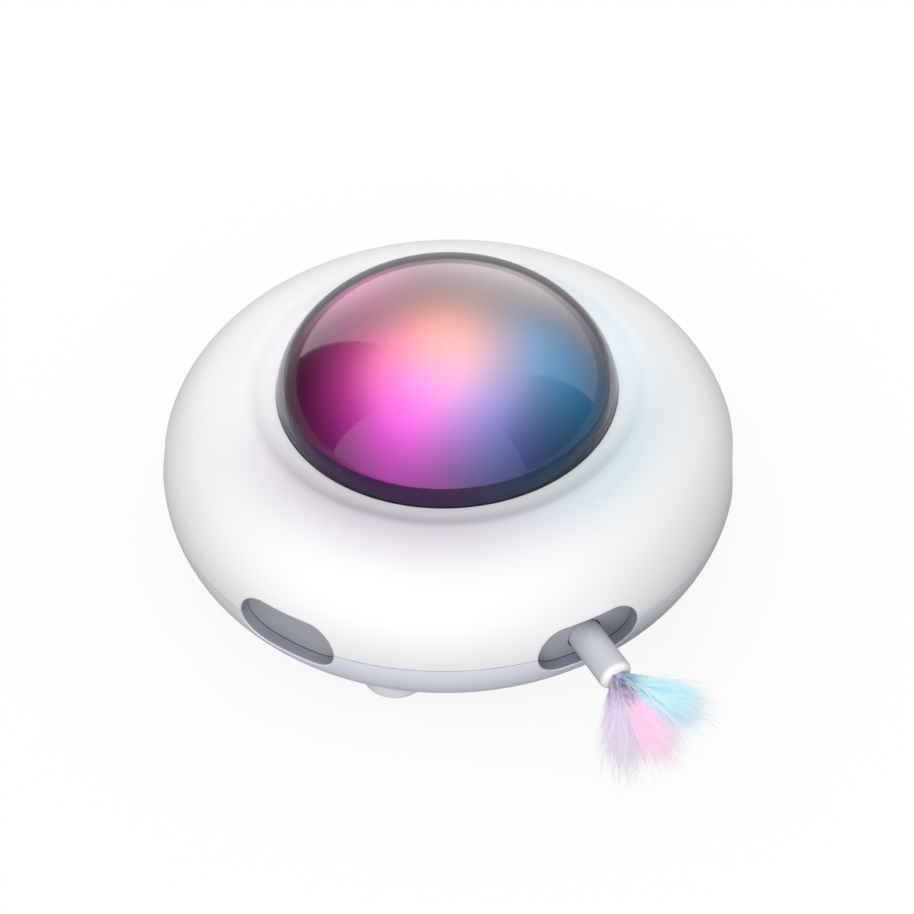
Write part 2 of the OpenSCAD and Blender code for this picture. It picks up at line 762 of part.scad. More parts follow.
// Right-angle gearbox that turns the drum, with two screw ears
module drive_gearbox() {
    color("#d8d2c0") difference() {
        union() {
            translate([-drive_box_w / 2, drive_y - drive_box_d / 2, floor_z])
                cube([drive_box_w, drive_box_d, drive_box_h]);
            at_gearbox_screws() translate([-ear_w / 2 - ear_root, -ear_d / 2, floor_z])
                cube([ear_w + 2 * ear_root, ear_d, ear_t]);
        }
        translate([0, drive_y, floor_z + 2]) cylinder(d = shaft_d + 2 * bearing_clear, h = drive_box_h);
        at_gearbox_screws() translate([0, 0, floor_z - 1]) cylinder(r = screw_hole_r, h = ear_t + 2);
    }
}

// Can of the drum's motor, lying beside the gearbox
module drive_motor() {
    start = drive_box_w / 2 + ear_w + 2 * ear_root;
    color("#c4c8ce") translate([start, drive_y, floor_z + motor_h / 2]) rotate([90, 0, 90])
        motor_can();
}

// Motor can with two flat sides and its end's bush
module motor_can() {
    intersection() {
        cylinder(d = motor_w, h = can_l);
        translate([-motor_w / 2, -motor_h / 2, 0]) cube([motor_w, motor_h, can_l]);
    }
    cylinder(d = motor_bush_d, h = can_l + motor_bush_l);
}

// Screws through the gearbox's ears
module gearbox_screws() {
    color("#b9bcc2") at_gearbox_screws() translate([0, 0, floor_z + ear_t]) screw_down(ear_t + wall - 1.2);
}

// Pinion that turns the drum's gear
module drive_pinion() {
    color("#e9dfc2") translate([0, drive_y, gear_z]) difference() {
        linear_extrude(gear_t - seat_clear * 3) rotate(-90)
            polygon(gear_points(pinion_teeth, gear_module, 5));
        translate([0, 0, -1]) cylinder(d = shaft_d + 2 * bearing_clear, h = gear_t + 2);
    }
}

// Upright shaft of the drum's pinion
module drive_shaft() {
    z = floor_z + 2 + bearing_clear;
    color("#9a9ea6") translate([0, drive_y, z]) cylinder(d = shaft_d, h = gear_z + gear_t - 0.5 - z);
}

// Body of the power switch on two posts
module switch_body() {
    color("#2b2b30") difference() {
        translate([switch_x, 0, switch_z]) {
            translate([-switch_l / 2, -switch_w / 2, 0]) cube([switch_l, switch_w, switch_h]);
            translate([-switch_l / 2 - switch_tab_l, -switch_w / 2, switch_tab_h])
                cube([switch_l + 2 * switch_tab_l, switch_w, switch_tab_t]);
        }
        translate([switch_x - switch_slot_l / 2, -1.3, switch_z - 1])
            cube([switch_slot_l, 2.6, 3]);
    }
}

// Sliding knob of the power switch, under the body
module switch_knob() {
    x = switch_x - switch_travel / 2;
    flange_z = floor_z + knob_flange_gap;
    color("#3a3a40") translate([x, 0, 0]) {
        difference() {
            translate([-knob_l / 2, -knob_w / 2, ground_gap - knob_out])
                cube([knob_l, knob_w, flange_z - ground_gap + knob_out]);
            for (i = [-1 : 1]) translate([i * knob_l / 4 - 0.25, -knob_w, ground_gap - knob_out - 1])
                cube([0.5, 2 * knob_w, 1.5]);
        }
        translate([-knob_l / 2 - 1.2, -knob_w / 2 - 1, flange_z]) cube([knob_l + 2.4, knob_w + 2, knob_flange_t]);
        translate([-knob_l / 2 + 0.6, -0.9, flange_z]) cube([knob_l - 1.2, 1.8, knob_flange_t + 1.6]);
    }
}

// Drum that turns inside the body: floor, hub and the barrel-shaped curtain behind the slots
module curtain_drum() {
    inset = curtain_inset + curtain_wall;
    color("#b9bcc8") difference() {
        rotate_extrude() polygon(concat(
            barrel(curtain_z[0], curtain_z[1], curtain_inset, 18),
            barrel(curtain_z[1], disc_top, inset, 14),
            [[hub_r, disc_top], [hub_r, hub_top], [hub_bore_r, hub_top],
             [hub_bore_r, hub_z], [hub_r, hub_z], [hub_r, disc_z]],
            barrel(disc_z, curtain_z[0], inset, 3)));
        translate([hub_r + 10, 0, seam_z]) rotate([0, 90, 0]) cylinder(r = rod_r + pass_clear, h = body_r);
        around(3, 30) translate([gear_screw_r, 0, disc_z - 1]) cylinder(r = screw_hole_r, h = floor_t + 0.5);
        at_guide_screws() translate([0, 0, disc_z - 1]) cylinder(r = screw_hole_r, h = floor_t + 2);
    }
}

// Bearing bush in the drum's hub
module hub_bush() {
    color("#c9a25e") translate([0, 0, hub_z]) difference() {
        cylinder(r = hub_bore_r - bearing_clear, h = hub_top - hub_z);
        translate([0, 0, -1]) cylinder(r = bush_r, h = hub_top - hub_z + 2);
    }
}

// Gear under the drum's floor
module drum_gear() {
    color("#e9dfc2") translate([0, 0, gear_z]) difference() {
        linear_extrude(gear_t) rotate(90 + 180 / gear_teeth) polygon(gear_points(gear_teeth, gear_module, 3));
        translate([0, 0, -1]) cylinder(r = hub_r + bearing_clear, h = gear_t + 2);
        around(3, 30) translate([gear_screw_r, 0, -1]) {
            cylinder(r = screw_hole_r, h = gear_t + 2);
            cylinder(r = head_r + seat_clear, h = head_h + 1);
        }
    }
}

// Screws that hold the gear to the drum's floor
module gear_screws() {
    color("#b9bcc2") around(3, 30) translate([gear_screw_r, 0, gear_z + head_h])
        screw_up(gear_t - head_h + floor_t - 0.8);
}

// Places of the guide's screws
module at_guide_screws() {
    for (x = [guide_start + 4, guide_end - 4], side = [-1, 1])
        translate([x, side * guide_screw_y]) children();
}

// Arched guide that the rod slides in, with two feet on the drum's floor
module rod_guide() {
    r = rod_r + guide_wall;
    color("#cfd2da") difference() {
        translate([guide_start, 0, 0]) {
            translate([0, 0, seam_z]) rotate([0, 90, 0]) cylinder(r = r, h = guide_l);
            translate([0, -r, disc_top]) cube([guide_l, 2 * r, floor_drop]);
            translate([0, -r - guide_foot_w, disc_top])
                cube([guide_l, 2 * (r + guide_foot_w), guide_foot_t]);
        }
        translate([guide_start - 1, 0, seam_z]) rotate([0, 90, 0])
            cylinder(r = rod_r + slide_clear, h = guide_l + 2);
        translate([guide_start - 1, -r - guide_foot_w - 1, disc_top - r])
            cube([guide_l + 2, 2 * (r + guide_foot_w + 1), r]);
        at_guide_screws() translate([0, 0, disc_top - 1]) cylinder(r = screw_hole_r, h = guide_foot_t + 2);
    }
}

// Screws through the guide's feet
module guide_screws() {
    color("#b9bcc2") at_guide_screws() translate([0, 0, disc_top + guide_foot_t])
        screw_down(guide_foot_t + floor_t);
}

// Gearbox of the rod's motor
module rod_gearbox() {
    color("#c9b27a") difference() {
        translate([pinion_x - motor_w / 2, rod_motor_y, motor_z]) cube([motor_w, rod_gearbox_l, motor_h]);
        translate([pinion_x, rod_motor_y - 1, pinion_z]) rotate([-90, 0, 0])
            cylinder(d = shaft_d + 2 * bearing_clear, h = 5);
    }
}

// Can of the rod's motor
module rod_motor() {
    color("#c4c8ce") translate([pinion_x, rod_motor_y + rod_gearbox_l, pinion_z]) rotate([-90, 0, 0])
        motor_can();
}

// Cradle that carries the rod's motor beside the rod, with ears for its strap
module motor_cradle() {
    color("#cfd2da") difference() {
        union() {
            translate([pinion_x - cradle_w / 2, rod_motor_y, disc_top]) cube([cradle_w, cradle_l, motor_z + cheek_h - disc_top]);
            translate([pinion_x - strap_screw_x - strap_ear / 2, strap_y - strap_w / 2, disc_top])
                cube([2 * strap_screw_x + strap_ear, strap_w, motor_z + cheek_h - disc_top]);
        }
        translate([pinion_x - motor_w / 2 - seat_clear, rod_motor_y - 1, motor_z])
            cube([motor_w + 2 * seat_clear, cradle_l + 2, motor_h]);
        translate([pinion_x - motor_w / 2 + cradle_wall, rod_motor_y + cradle_wall, disc_top - 1])
            cube([motor_w - 2 * cradle_wall, cradle_l - 2 * cradle_wall, motor_z - disc_top - cradle_wall + 1]);
        at_strap_screws() translate([0, 0, disc_top + 2]) cylinder(r = screw_hole_r, h = motor_h + motor_z);
    }
}

// Places of the strap's screws
module at_strap_screws() {
    for (side = [-1, 1]) translate([pinion_x + side * strap_screw_x, strap_y]) children();
}

// Sheet strap bent over the rod's motor and screwed to the cradle's ears
module motor_strap() {
    z = motor_z + cheek_h;
    inner = motor_w / 2 + seat_clear;
    outer = inner + strap_t;
    reach = strap_screw_x + strap_ear / 2;
    top = strap_top + seat_clear;
    color("#a9adb5") difference() {
        translate([pinion_x, strap_y + strap_w / 2, 0]) rotate([90, 0, 0]) linear_extrude(strap_w) polygon([
            [-reach, z], [-inner, z], [-inner, top], [inner, top], [inner, z], [reach, z],
            [reach, z + strap_t], [outer, z + strap_t], [outer, top + strap_t],
            [-outer, top + strap_t], [-outer, z + strap_t], [-reach, z + strap_t]]);
        at_strap_screws() translate([0, 0, z - 1]) cylinder(r = screw_hole_r, h = strap_t + 2);
    }
}

// Screws of the strap
module strap_screws() {
    color("#b9bcc2") at_strap_screws() translate([0, 0, motor_z + cheek_h + strap_t]) screw_down(strap_screw_l);
}

// Switch that feels the rod's inner end
module home_switch() {
    l = 13;
    w = 6;
    h = 6.4;
    color("#2b2b30") translate([rod_inner - rod_stroke + 6, -rod_r - 1.5 - w, disc_top]) {
        cube([l, w, h]);
        translate([2, w, 3]) cube([1.2, 0.8, 2.4]);
    }
}

// Pinion that drives the rod's rack
module rod_pinion() {
    color("#e9dfc2") translate([pinion_x, rod_pinion_w / 2, pinion_z]) rotate([90, 0, 0]) difference() {
        linear_extrude(rod_pinion_w) rotate(-90)
            polygon(gear_points(rod_pinion_teeth, rack_module, 5));
        translate([0, 0, -1]) cylinder(d = shaft_d + 2 * bearing_clear, h = rod_pinion_w + 2);
    }
}

// Shaft of the rod's pinion, out of the gearbox
module rod_pinion_shaft() {
    color("#9a9ea6") translate([pinion_x, -rod_pinion_w / 2 - 0.5, pinion_z]) rotate([-90, 0, 0])
        cylinder(d = shaft_d, h = rod_pinion_w / 2 + 0.5 + rod_motor_y + 3.5);
}

// Rod with a rack cut into its top, which stays inside the body
module feather_rod() {
    tip_plane = seam_z + rack_height + addendum * rack_module;
    rack_end = pinion_x + (rack_last + 0.5) * rack_pitch;
    color("#c3c4d4") difference() {
        translate([rod_inner, 0, seam_z]) rotate([0, 90, 0]) cylinder(r = rod_r, h = rod_front - rod_inner);
        translate([rod_front - spigot_l - 1, 0, seam_z]) rotate([0, 90, 0])
            cylinder(d = spigot_d + 2 * bearing_clear, h = spigot_l + 2);
        translate([rod_inner - 1, -rod_r - 1, tip_plane]) cube([rack_end - rod_inner + 1, rod_d + 2, rod_r]);
        for (i = [rack_first : rack_last]) translate([pinion_x + i * rack_pitch, rod_r + 1, seam_z + rack_height])
            rotate([90, 0, 0]) linear_extrude(rod_d + 2) rack_gap();
    }
}

// Gap between two teeth of the rack, about its pitch line
module rack_gap() {
    half = rack_pitch / 4 + tooth_slack;
    high = addendum * rack_module + 0.1;
    low = dedendum * rack_module;
    lean = tan(pressure_angle);
    polygon([
        [-half + low * lean, -low], [half - low * lean, -low],
        [half + high * lean, high], [-half - high * lean, high]]);
}

// White tip with a rounded edge, a spigot in the rod and a bore for the plug
module rod_tip() {
    color("#f4f4fa") translate([rod_front, 0, seam_z]) rotate([0, 90, 0]) difference() {
        union() {
            rotate_extrude() polygon(concat(
                [[0, 0], [rod_r, 0]],
                [for (i = [0 : 8]) let (a = 90 * i / 8)
                    [rod_r - tip_round * (1 - cos(a)), tip_l - tip_round * (1 - sin(a))]],
                [[0, tip_l]]));
            translate([0, 0, -spigot_l]) cylinder(d = spigot_d, h = spigot_l + 1);
        }
        translate([0, 0, tip_l - plug_in]) cylinder(d = plug_d + 2 * bearing_clear, h = plug_in + 1);
    }
}

// Plug that gathers the feathers' quills
module feather_plug() {
    color("#d8cfe8") translate([rod_end - plug_in + bearing_clear, 0, seam_z]) rotate([0, 90, 0])
        cylinder(d = plug_d, h = plug_in + plug_out);
}

// One feather: a swept body on a tapered quill, with ridges that stand for its locks.
// It starts on the plug's face, turn degrees round the rod from straight up, and leaves along aim.
// Its width lies along side, and its end sinks by droop.
module plume(turn, aim, side, length, width, droop) {
    rings = 10;
    sides = 14;
    ridge = 0.84;
    quill_circle_r = plug_d / 2 - 0.85;
    root = [rod_end + plug_out + seat_clear, quill_circle_r * sin(turn), seam_z + quill_circle_r * cos(turn)];
    way = aim / norm(aim);
    across = side - (side * way) * way;
    u = across / norm(across);
    v = cross(way, u);
    function middle(t) = root + way * length * t - [0, 0, droop * t * t];
    function half_width(t) = width / 2 * pow(sin(6 + 166 * pow(t, 1.5)), 0.9);
    points = [for (i = [0 : rings], j = [0 : sides - 1])
        let (t = i / rings,
             a = 360 * j / sides,
             r = half_width(t) * (j % 2 == 0 ? 1 : ridge),
             p = middle(t) + r * (cos(a) * u + plume_flat * sin(a) * v))
        i == 0 ? [root[0], p[1], p[2]] : p];
    last = rings * sides;
    faces = concat(
        [for (j = [1 : sides - 2]) [0, j, j + 1]],
        [for (i = [0 : rings - 1], j = [0 : sides - 1])
            [i * sides + j, (i + 1) * sides + j, i * sides + (j + 1) % sides]],
        [for (i = [0 : rings - 1], j = [0 : sides - 1])
            [i * sides + (j + 1) % sides, (i + 1) * sides + j, (i + 1) * sides + (j + 1) % sides]],
        [for (j = [1 : sides - 2]) [last, last + j + 1, last + j]]);
    union() {
        polyhedron(points, faces);
        translate(root + way) rotate([0, acos(way[2]), atan2(way[1], way[0])])
            cylinder(r1 = quill_d / 2, r2 = quill_d / 4, h = length / 3);
    }
}

// Blue feather, to the rod's left side
module feather_blue() {
    color("#86cdea") plume(60, [21, 18, -1.5], [-0.6, 0.3, -0.7], blue_l, blue_w, 4);
}

// Pink feather, ahead and down
module feather_pink() {
    color("#f7b9d6") plume(165, [27, -2, -13.5], [0.2, 0.95, 0.25], pink_l, plume_w, 4);
}

// Lilac feather, to the rod's right side and down
module feather_lilac() {
    color("#cfc0ea") plume(285, [13, -9.5, -20.5], [0.45, 0.85, 0.1], lilac_l, plume_w, 4);
}

base_shell();
top_shell();
shell_screws();
centre_cap();
rubber_feet();
smoked_dome();
dome_bezel();
light_diffuser();
led_board();
led_lamps();
control_chips();
board_screws();
thrust_washer();
hub_clip();
battery_pack();
battery_tray();
charge_board();
usb_port();
drive_gearbox();
drive_motor();
gearbox_screws();
drive_pinion();
drive_shaft();
switch_body();
switch_knob();
curtain_drum();
hub_bush();
drum_gear();
gear_screws();
rod_guide();
guide_screws();
rod_gearbox();
rod_motor();
motor_cradle();
motor_strap();
strap_screws();
home_switch();
rod_pinion();
rod_pinion_shaft();
feather_rod();
rod_tip();
feather_plug();
feather_blue();
feather_pink();
feather_lilac();
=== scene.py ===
"""Automatic cat feather toy: a saucer body with a lit, smoked dome, and a rod with a feather tuft."""
import math
import random

import bmesh
import bpy
from mathutils import Matrix, Vector


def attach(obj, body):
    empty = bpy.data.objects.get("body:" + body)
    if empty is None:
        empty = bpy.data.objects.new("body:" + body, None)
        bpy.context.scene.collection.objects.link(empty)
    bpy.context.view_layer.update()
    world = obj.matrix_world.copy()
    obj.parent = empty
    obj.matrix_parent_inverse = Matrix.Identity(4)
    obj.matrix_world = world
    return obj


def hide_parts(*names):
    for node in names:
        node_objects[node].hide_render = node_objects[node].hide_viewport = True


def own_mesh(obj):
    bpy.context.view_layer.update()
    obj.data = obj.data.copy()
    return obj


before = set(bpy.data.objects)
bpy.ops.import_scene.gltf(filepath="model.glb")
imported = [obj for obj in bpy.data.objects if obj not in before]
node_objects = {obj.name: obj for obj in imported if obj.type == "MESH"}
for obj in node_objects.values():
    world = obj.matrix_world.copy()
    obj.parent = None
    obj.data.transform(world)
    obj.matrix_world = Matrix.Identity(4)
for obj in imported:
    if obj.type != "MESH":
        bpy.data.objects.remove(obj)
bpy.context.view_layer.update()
MM = 0.001

# Camera: a long lens that looks down on the toy from the front right of its rod,
# rolled by a degree or so, as the product photograph was taken.
VIEW_AZIMUTH = math.radians(63.73)
VIEW_ELEVATION = math.radians(44.1)
VIEW_ROLL = math.radians(1.6)
VIEW_DISTANCE = 0.700
VIEW_TARGET = Vector((0.0, 0.0, 0.033))
camera_data = bpy.data.cameras.new("camera")
camera_data.sensor_width = 36.0
camera_data.lens = 89.41
camera_data.shift_x = 0.00905
camera_data.shift_y = -0.0121
camera_data.clip_start = 0.01
camera = bpy.data.objects.new("camera", camera_data)
bpy.context.scene.collection.objects.link(camera)
toward = Vector((math.sin(VIEW_AZIMUTH) * math.cos(VIEW_ELEVATION),
                 -math.cos(VIEW_AZIMUTH) * math.cos(VIEW_ELEVATION),
                 math.sin(VIEW_ELEVATION)))
level = Vector((math.cos(VIEW_AZIMUTH), math.sin(VIEW_AZIMUTH), 0.0))
upright = toward.cross(level)
camera_x = level * math.cos(VIEW_ROLL) - upright * math.sin(VIEW_ROLL)
camera_y = upright * math.cos(VIEW_ROLL) + level * math.sin(VIEW_ROLL)
camera.matrix_world = (Matrix.Translation(VIEW_TARGET + toward * VIEW_DISTANCE)
                       @ Matrix((camera_x, camera_y, toward)).transposed().to_4x4())
bpy.context.scene.camera = camera
bpy.context.scene.view_settings.view_transform = "Standard"


# Studio: a large softbox in front and a little to the left, a fill that dims at the sides,
# and two bright walls with a dark gap on opposite sides, which draw the curved edges in the dome.
class Wire:
    """A shader socket that plain expressions can add, subtract, multiply and divide."""

    def __init__(self, tree, socket=None):
        self.tree = tree
        self.socket = socket

    def node(self, kind, settings=None, sockets=None, out=0):
        """Adds a node: its settings first, then the values or wires of its sockets."""
        made = self.tree.nodes.new(kind)
        for name, value in (settings or {}).items():
            setattr(made, name, value)
        for key, value in (sockets or {}).items():
            if isinstance(value, Wire):
                self.tree.links.new(value.socket, made.inputs[key])
            else:
                made.inputs[key].default_value = value
        return Wire(self.tree, made.outputs[out]) if made.outputs else None

    def maths(self, operation, first, second=0.0):
        """One step of arithmetic on wires or numbers."""
        return self.node("ShaderNodeMath", {"operation": operation}, {0: first, 1: second})

    def __add__(self, other):
        return self.maths("ADD", self, other)

    def __sub__(self, other):
        return self.maths("SUBTRACT", self, other)

    def __rsub__(self, other):
        return self.maths("SUBTRACT", other, self)

    def __mul__(self, other):
        return self.maths("MULTIPLY", self, other)

    def __truediv__(self, other):
        return self.maths("DIVIDE", self, other)

    __radd__ = __add__

    def ramp(self, low, high, start=0.0, end=1.0):
        """A smooth step from start to end as this value goes from low to high."""
        values = {"Value": self, "From Min": low, "From Max": high, "To Min": start, "To Max": end}
        return self.node("ShaderNodeMapRange", {"interpolation_type": "SMOOTHSTEP"}, values)

    def axes(self, vector):
        """The three values of a vector."""
        made = self.node("ShaderNodeSeparateXYZ", sockets={"Vector": vector}).socket.node
        return [Wire(self.tree, socket) for socket in made.outputs]

    def ray(self, kind):
        """1 for rays of one kind, such as the camera's, and 0 for the rest."""
        return self.node("ShaderNodeLightPath", out=kind)

    def mirror_ray(self):
        """1 for rays that gloss or glass sends on, and 0 for the rest."""
        return self.maths("MAXIMUM", self.ray("Is Glossy Ray"), self.ray("Is Transmission Ray"))

    def blend(self, first, second):
        """The colour first where this value is 0 and second where it is 1."""
        values = {"Factor": self, COLOUR_A: first, COLOUR_B: second}
        return self.node("ShaderNodeMix", {"data_type": "RGBA"}, values, COLOUR_OUT)


COLOUR_A = 6
COLOUR_B = 7
COLOUR_OUT = 2
TINY = 1e-4
WHITE = (1.0, 1.0, 1.0, 1.0)
GAP_TURN = math.radians(50.0)
GAP_EDGE = 0.868
GAP_SOFT = 0.004
FRONT_WALL = 0.9
BACK_WALL = 1.55
RIGHT_WALL = 0.55
FRONT_FILL = 0.76
BACK_FILL = 1.03
LOW_SIDES = 0.42
HIGH_SIDES = 0.05
world = bpy.data.worlds.new("studio")
bpy.context.scene.world = world
world.use_nodes = True
world.node_tree.nodes.clear()
studio = Wire(world.node_tree)
heading = studio.node("ShaderNodeTexCoord", out="Generated")
way_x, way_y, way_z = studio.axes(heading)
flat_length = studio.maths("SQRT", way_x * way_x + way_y * way_y) + TINY
gap_way = way_x * math.cos(GAP_TURN) + way_y * math.sin(GAP_TURN)
along_gap = studio.maths("ABSOLUTE", gap_way) / flat_length
across_gap = way_y * math.cos(GAP_TURN) - way_x * math.sin(GAP_TURN)
walls = across_gap.ramp(-0.4, 0.4, FRONT_WALL, BACK_WALL)
gap = along_gap.ramp(GAP_EDGE - GAP_SOFT, GAP_EDGE + GAP_SOFT) * way_z.ramp(0.60, 0.88, 1.0, 0.0)
rightwards = way_x * level.x + way_y * level.y
mirrored = (1.0 - gap) * walls * rightwards.ramp(0.0, 0.8, 1.0, RIGHT_WALL)
sides = (rightwards * rightwards).ramp(0.3, 1.0) * way_z.ramp(0.0, 0.5, LOW_SIDES, HIGH_SIDES)
fill = (way_x * toward.x + way_y * toward.y).ramp(-0.7, 0.8, BACK_FILL, FRONT_FILL) * (1.0 - sides)
seen = studio.ray("Is Camera Ray")
glossy = studio.mirror_ray()
strength = seen + (1.0 - seen) * (glossy * mirrored + (1.0 - glossy) * fill)
backdrop = studio.node("ShaderNodeBackground", sockets={"Color": WHITE, "Strength": strength})
studio.node("ShaderNodeOutputWorld", sockets={"Surface": backdrop})

KEY_WAY = Vector((0.74, -0.58, 0.20))
KEY_DISTANCE = 1.3
KEY_SIZE = 1.1
KEY_POWER = 9.9
key_data = bpy.data.lights.new("front_softbox", "AREA")
key_data.shape = "SQUARE"
key_data.size = KEY_SIZE
key_data.energy = KEY_POWER
key = bpy.data.objects.new("front_softbox", key_data)
key.location = VIEW_TARGET + KEY_WAY.normalized() * KEY_DISTANCE
key.rotation_euler = KEY_WAY.to_track_quat("Z", "Y").to_euler()
key.visible_glossy = False
key.visible_transmission = False
bpy.context.scene.collection.objects.link(key)


# Floor: a plain pale sweep, which the camera sees as white except where the
# toy's own soft shadow falls on it. Dark flags lie round the toy's foot and to its left
# and right, out of the camera's sight, and deepen the lower shell's edge and sides.
def link_mesh(name, mesh_maker):
    """A new object at the origin whose mesh mesh_maker shapes, in millimetres."""
    bm = bmesh.new()
    mesh_maker(bm)
    bmesh.ops.scale(bm, vec=(MM, MM, MM), verts=bm.verts)
    mesh = bpy.data.meshes.new(name)
    bm.to_mesh(mesh)
    bm.free()
    made = bpy.data.objects.new(name, mesh)
    bpy.context.scene.collection.objects.link(made)
    return made


def new_material(name):
    """An empty material and a wire to its node tree."""
    material = bpy.data.materials.new(name)
    material.use_nodes = True
    material.node_tree.nodes.clear()
    return material, Wire(material.node_tree)


def put_on(thing, material):
    """Gives an object one material."""
    thing.data.materials.clear()
    thing.data.materials.append(material)


FLOOR_HALF = 3000.0
FLOOR_TONE = 0.22
FLAG_TONE = 0.02
FLOOR_GLOSS = 0.33
FOOT_REACH = 0.09
FLAG_REACH = 0.18
FLAG_SHARE = 0.8
SHADOW_REACH = 0.20
SHADOW_SHARE = 0.12
floor = link_mesh("floor", lambda bm: bmesh.ops.create_grid(
    bm, x_segments=1, y_segments=1, size=FLOOR_HALF))
floor_material, paint = new_material("pale_sweep")
place = paint.node("ShaderNodeTexCoord", out="Object")
reach = paint.node("ShaderNodeVectorMath", {"operation": "LENGTH"}, {0: place}, "Value")
floor_x, floor_y, _ = paint.axes(place)
sideways = (floor_x * level.x + floor_y * level.y) / (reach + TINY)
open_floor, flag = [paint.node("ShaderNodeBsdfDiffuse", sockets={"Color": (grey, grey, grey * 1.03, 1.0)})
                    for grey in (FLOOR_TONE, FLAG_TONE)]
round_foot = reach.ramp(FOOT_REACH, FLAG_REACH, FLAG_SHARE, 0.0)
flagged = paint.maths("MAXIMUM", (sideways * sideways).ramp(0.1, 0.5), round_foot)
bounce = paint.node("ShaderNodeMixShader", sockets={0: flagged, 1: open_floor, 2: flag})
cast = paint.node("ShaderNodeBsdfDiffuse", sockets={"Color": (0.96, 0.96, 0.97, 1.0)})
plain = paint.node("ShaderNodeEmission", sockets={"Color": WHITE, "Strength": 1.0})
unshadowed = reach.ramp(FOOT_REACH, SHADOW_REACH, 1.0 - SHADOW_SHARE, 1.0)
white = paint.node("ShaderNodeMixShader", sockets={0: unshadowed, 1: cast, 2: plain})
direct = paint.maths("MAXIMUM", paint.ray("Is Camera Ray"), paint.mirror_ray() * FLOOR_GLOSS)
sweep = paint.node("ShaderNodeMixShader", sockets={0: direct, 1: bounce, 2: white})
paint.node("ShaderNodeOutputMaterial", sockets={"Surface": sweep})
put_on(floor, floor_material)


# Lower shell: a bowl moulded in pale grey plastic, with the lower half of each
# slot in its rim, four bosses for the pads, and the hollow post in its middle.
BODY_R = 88.0
SEAM_Z = 30.0
SEAM_GAP = 0.3
WALL = 3.0
BEAD = 0.6
LOWER_C = (61.5, 30.0)
LOWER_R = 26.5
SHOULDER_C = (62.0, 31.0)
SHOULDER_R = 26.0
SLOT_W = 32.5
SLOT_H = 17.2
SLOT_COUNT = 6
LIP = 0.45
BAND_LOW = 16.0
BAND_HIGH = 44.0
ROUND_STEPS = 144
EDGE_STEPS = ROUND_STEPS // SLOT_COUNT
SIDE_STEPS = 12
OUTER_RINGS = 9
RING_CROWD = 1.6
LIP_RINGS = 5
INNER_RINGS = 4
SHARP_ANGLE = 38.0
BOWL_LOW = 3.5
BOWL_TOP = 6.5
BOWL_RINGS = (48.0, 30.0)
BOWL_INNER_RING = 40.0
POST_R = 12.0
POST_BORE_R = 8.5
POST_CEILING = 44.5
POST_TOP = 47.5
WIRE_HOLE_R = 2.0
GROOVE_R = 11.0
GROOVE_Z = (23.45, 24.35)
BEARING_R = 16.5
BEARING_Z = 12.0


def shell_r(z, inset=0.0):
    """Radius of the body at a height near its equator."""
    if z < LOWER_C[1]:
        return LOWER_C[0] + math.sqrt((LOWER_R - inset) ** 2 - (LOWER_C[1] - z) ** 2)
    if z < SHOULDER_C[1]:
        return BODY_R - inset
    return SHOULDER_C[0] + math.sqrt((SHOULDER_R - inset) ** 2 - (z - SHOULDER_C[1]) ** 2)


def arc(centre, radius, first, last, steps):
    """Points of an arc in the profile's plane, as (radius, height)."""
    turns = [math.radians(first + (last - first) * i / steps) for i in range(steps + 1)]
    return [(centre[0] + radius * math.cos(a), centre[1] + radius * math.sin(a)) for a in turns]


def spin_profile(bm, points, steps=ROUND_STEPS, closed=False):
    """Turns a profile of (radius, height) points once round the Z axis."""
    verts = [bm.verts.new((r, 0.0, z)) for r, z in points]
    pairs = list(zip(verts, verts[1:])) + ([(verts[-1], verts[0])] if closed else [])
    edges = [bm.edges.new(pair) for pair in pairs]
    bmesh.ops.spin(bm, geom=verts + edges, cent=(0, 0, 0), axis=(0, 0, 1),
                   angle=2 * math.pi, steps=steps, use_merge=True)


def whole(bm):
    """All of a mesh's vertices, edges and faces."""
    return bm.verts[:] + bm.edges[:] + bm.faces[:]


def verts_of(geom):
    """The vertices among the pieces that a mesh operator returns."""
    return [piece for piece in geom if isinstance(piece, bmesh.types.BMVert)]


def weld(bm, distance):
    """Joins vertices that meet, and turns every face outwards."""
    bmesh.ops.remove_doubles(bm, verts=bm.verts, dist=distance)
    bmesh.ops.recalc_face_normals(bm, faces=bm.faces)


def pill_point(share, grow):
    """A point of the slot's outline at a share of the way round, grown outwards."""
    half = (SLOT_W - SLOT_H) / 2
    r = SLOT_H / 2
    quarter = r * math.pi / 4
    edge = 2 * quarter + 2 * half
    if share < EDGE_STEPS:
        s, side = share / EDGE_STEPS * edge, -1
    elif share < EDGE_STEPS + SIDE_STEPS:
        a = -math.pi / 4 + (share - EDGE_STEPS) / SIDE_STEPS * math.pi / 2
        return half + (r + grow) * math.cos(a), (r + grow) * math.sin(a)
    elif share < 2 * EDGE_STEPS + SIDE_STEPS:
        s, side = (share - EDGE_STEPS - SIDE_STEPS) / EDGE_STEPS * edge, 1
    else:
        a = math.pi * 0.75 + (share - 2 * EDGE_STEPS - SIDE_STEPS) / SIDE_STEPS * math.pi / 2
        return -half + (r + grow) * math.cos(a), (r + grow) * math.sin(a)
    if s < quarter:
        a = math.pi * 1.25 + s / r
        y, z = -half + (r + grow) * math.cos(a), (r + grow) * math.sin(a)
    elif s < quarter + 2 * half:
        y, z = -half + s - quarter, -r - grow
    else:
        a = math.pi * 1.5 + (s - quarter - 2 * half) / r
        y, z = half + (r + grow) * math.cos(a), (r + grow) * math.sin(a)
    return (y, z) if side < 0 else (-y, -z)


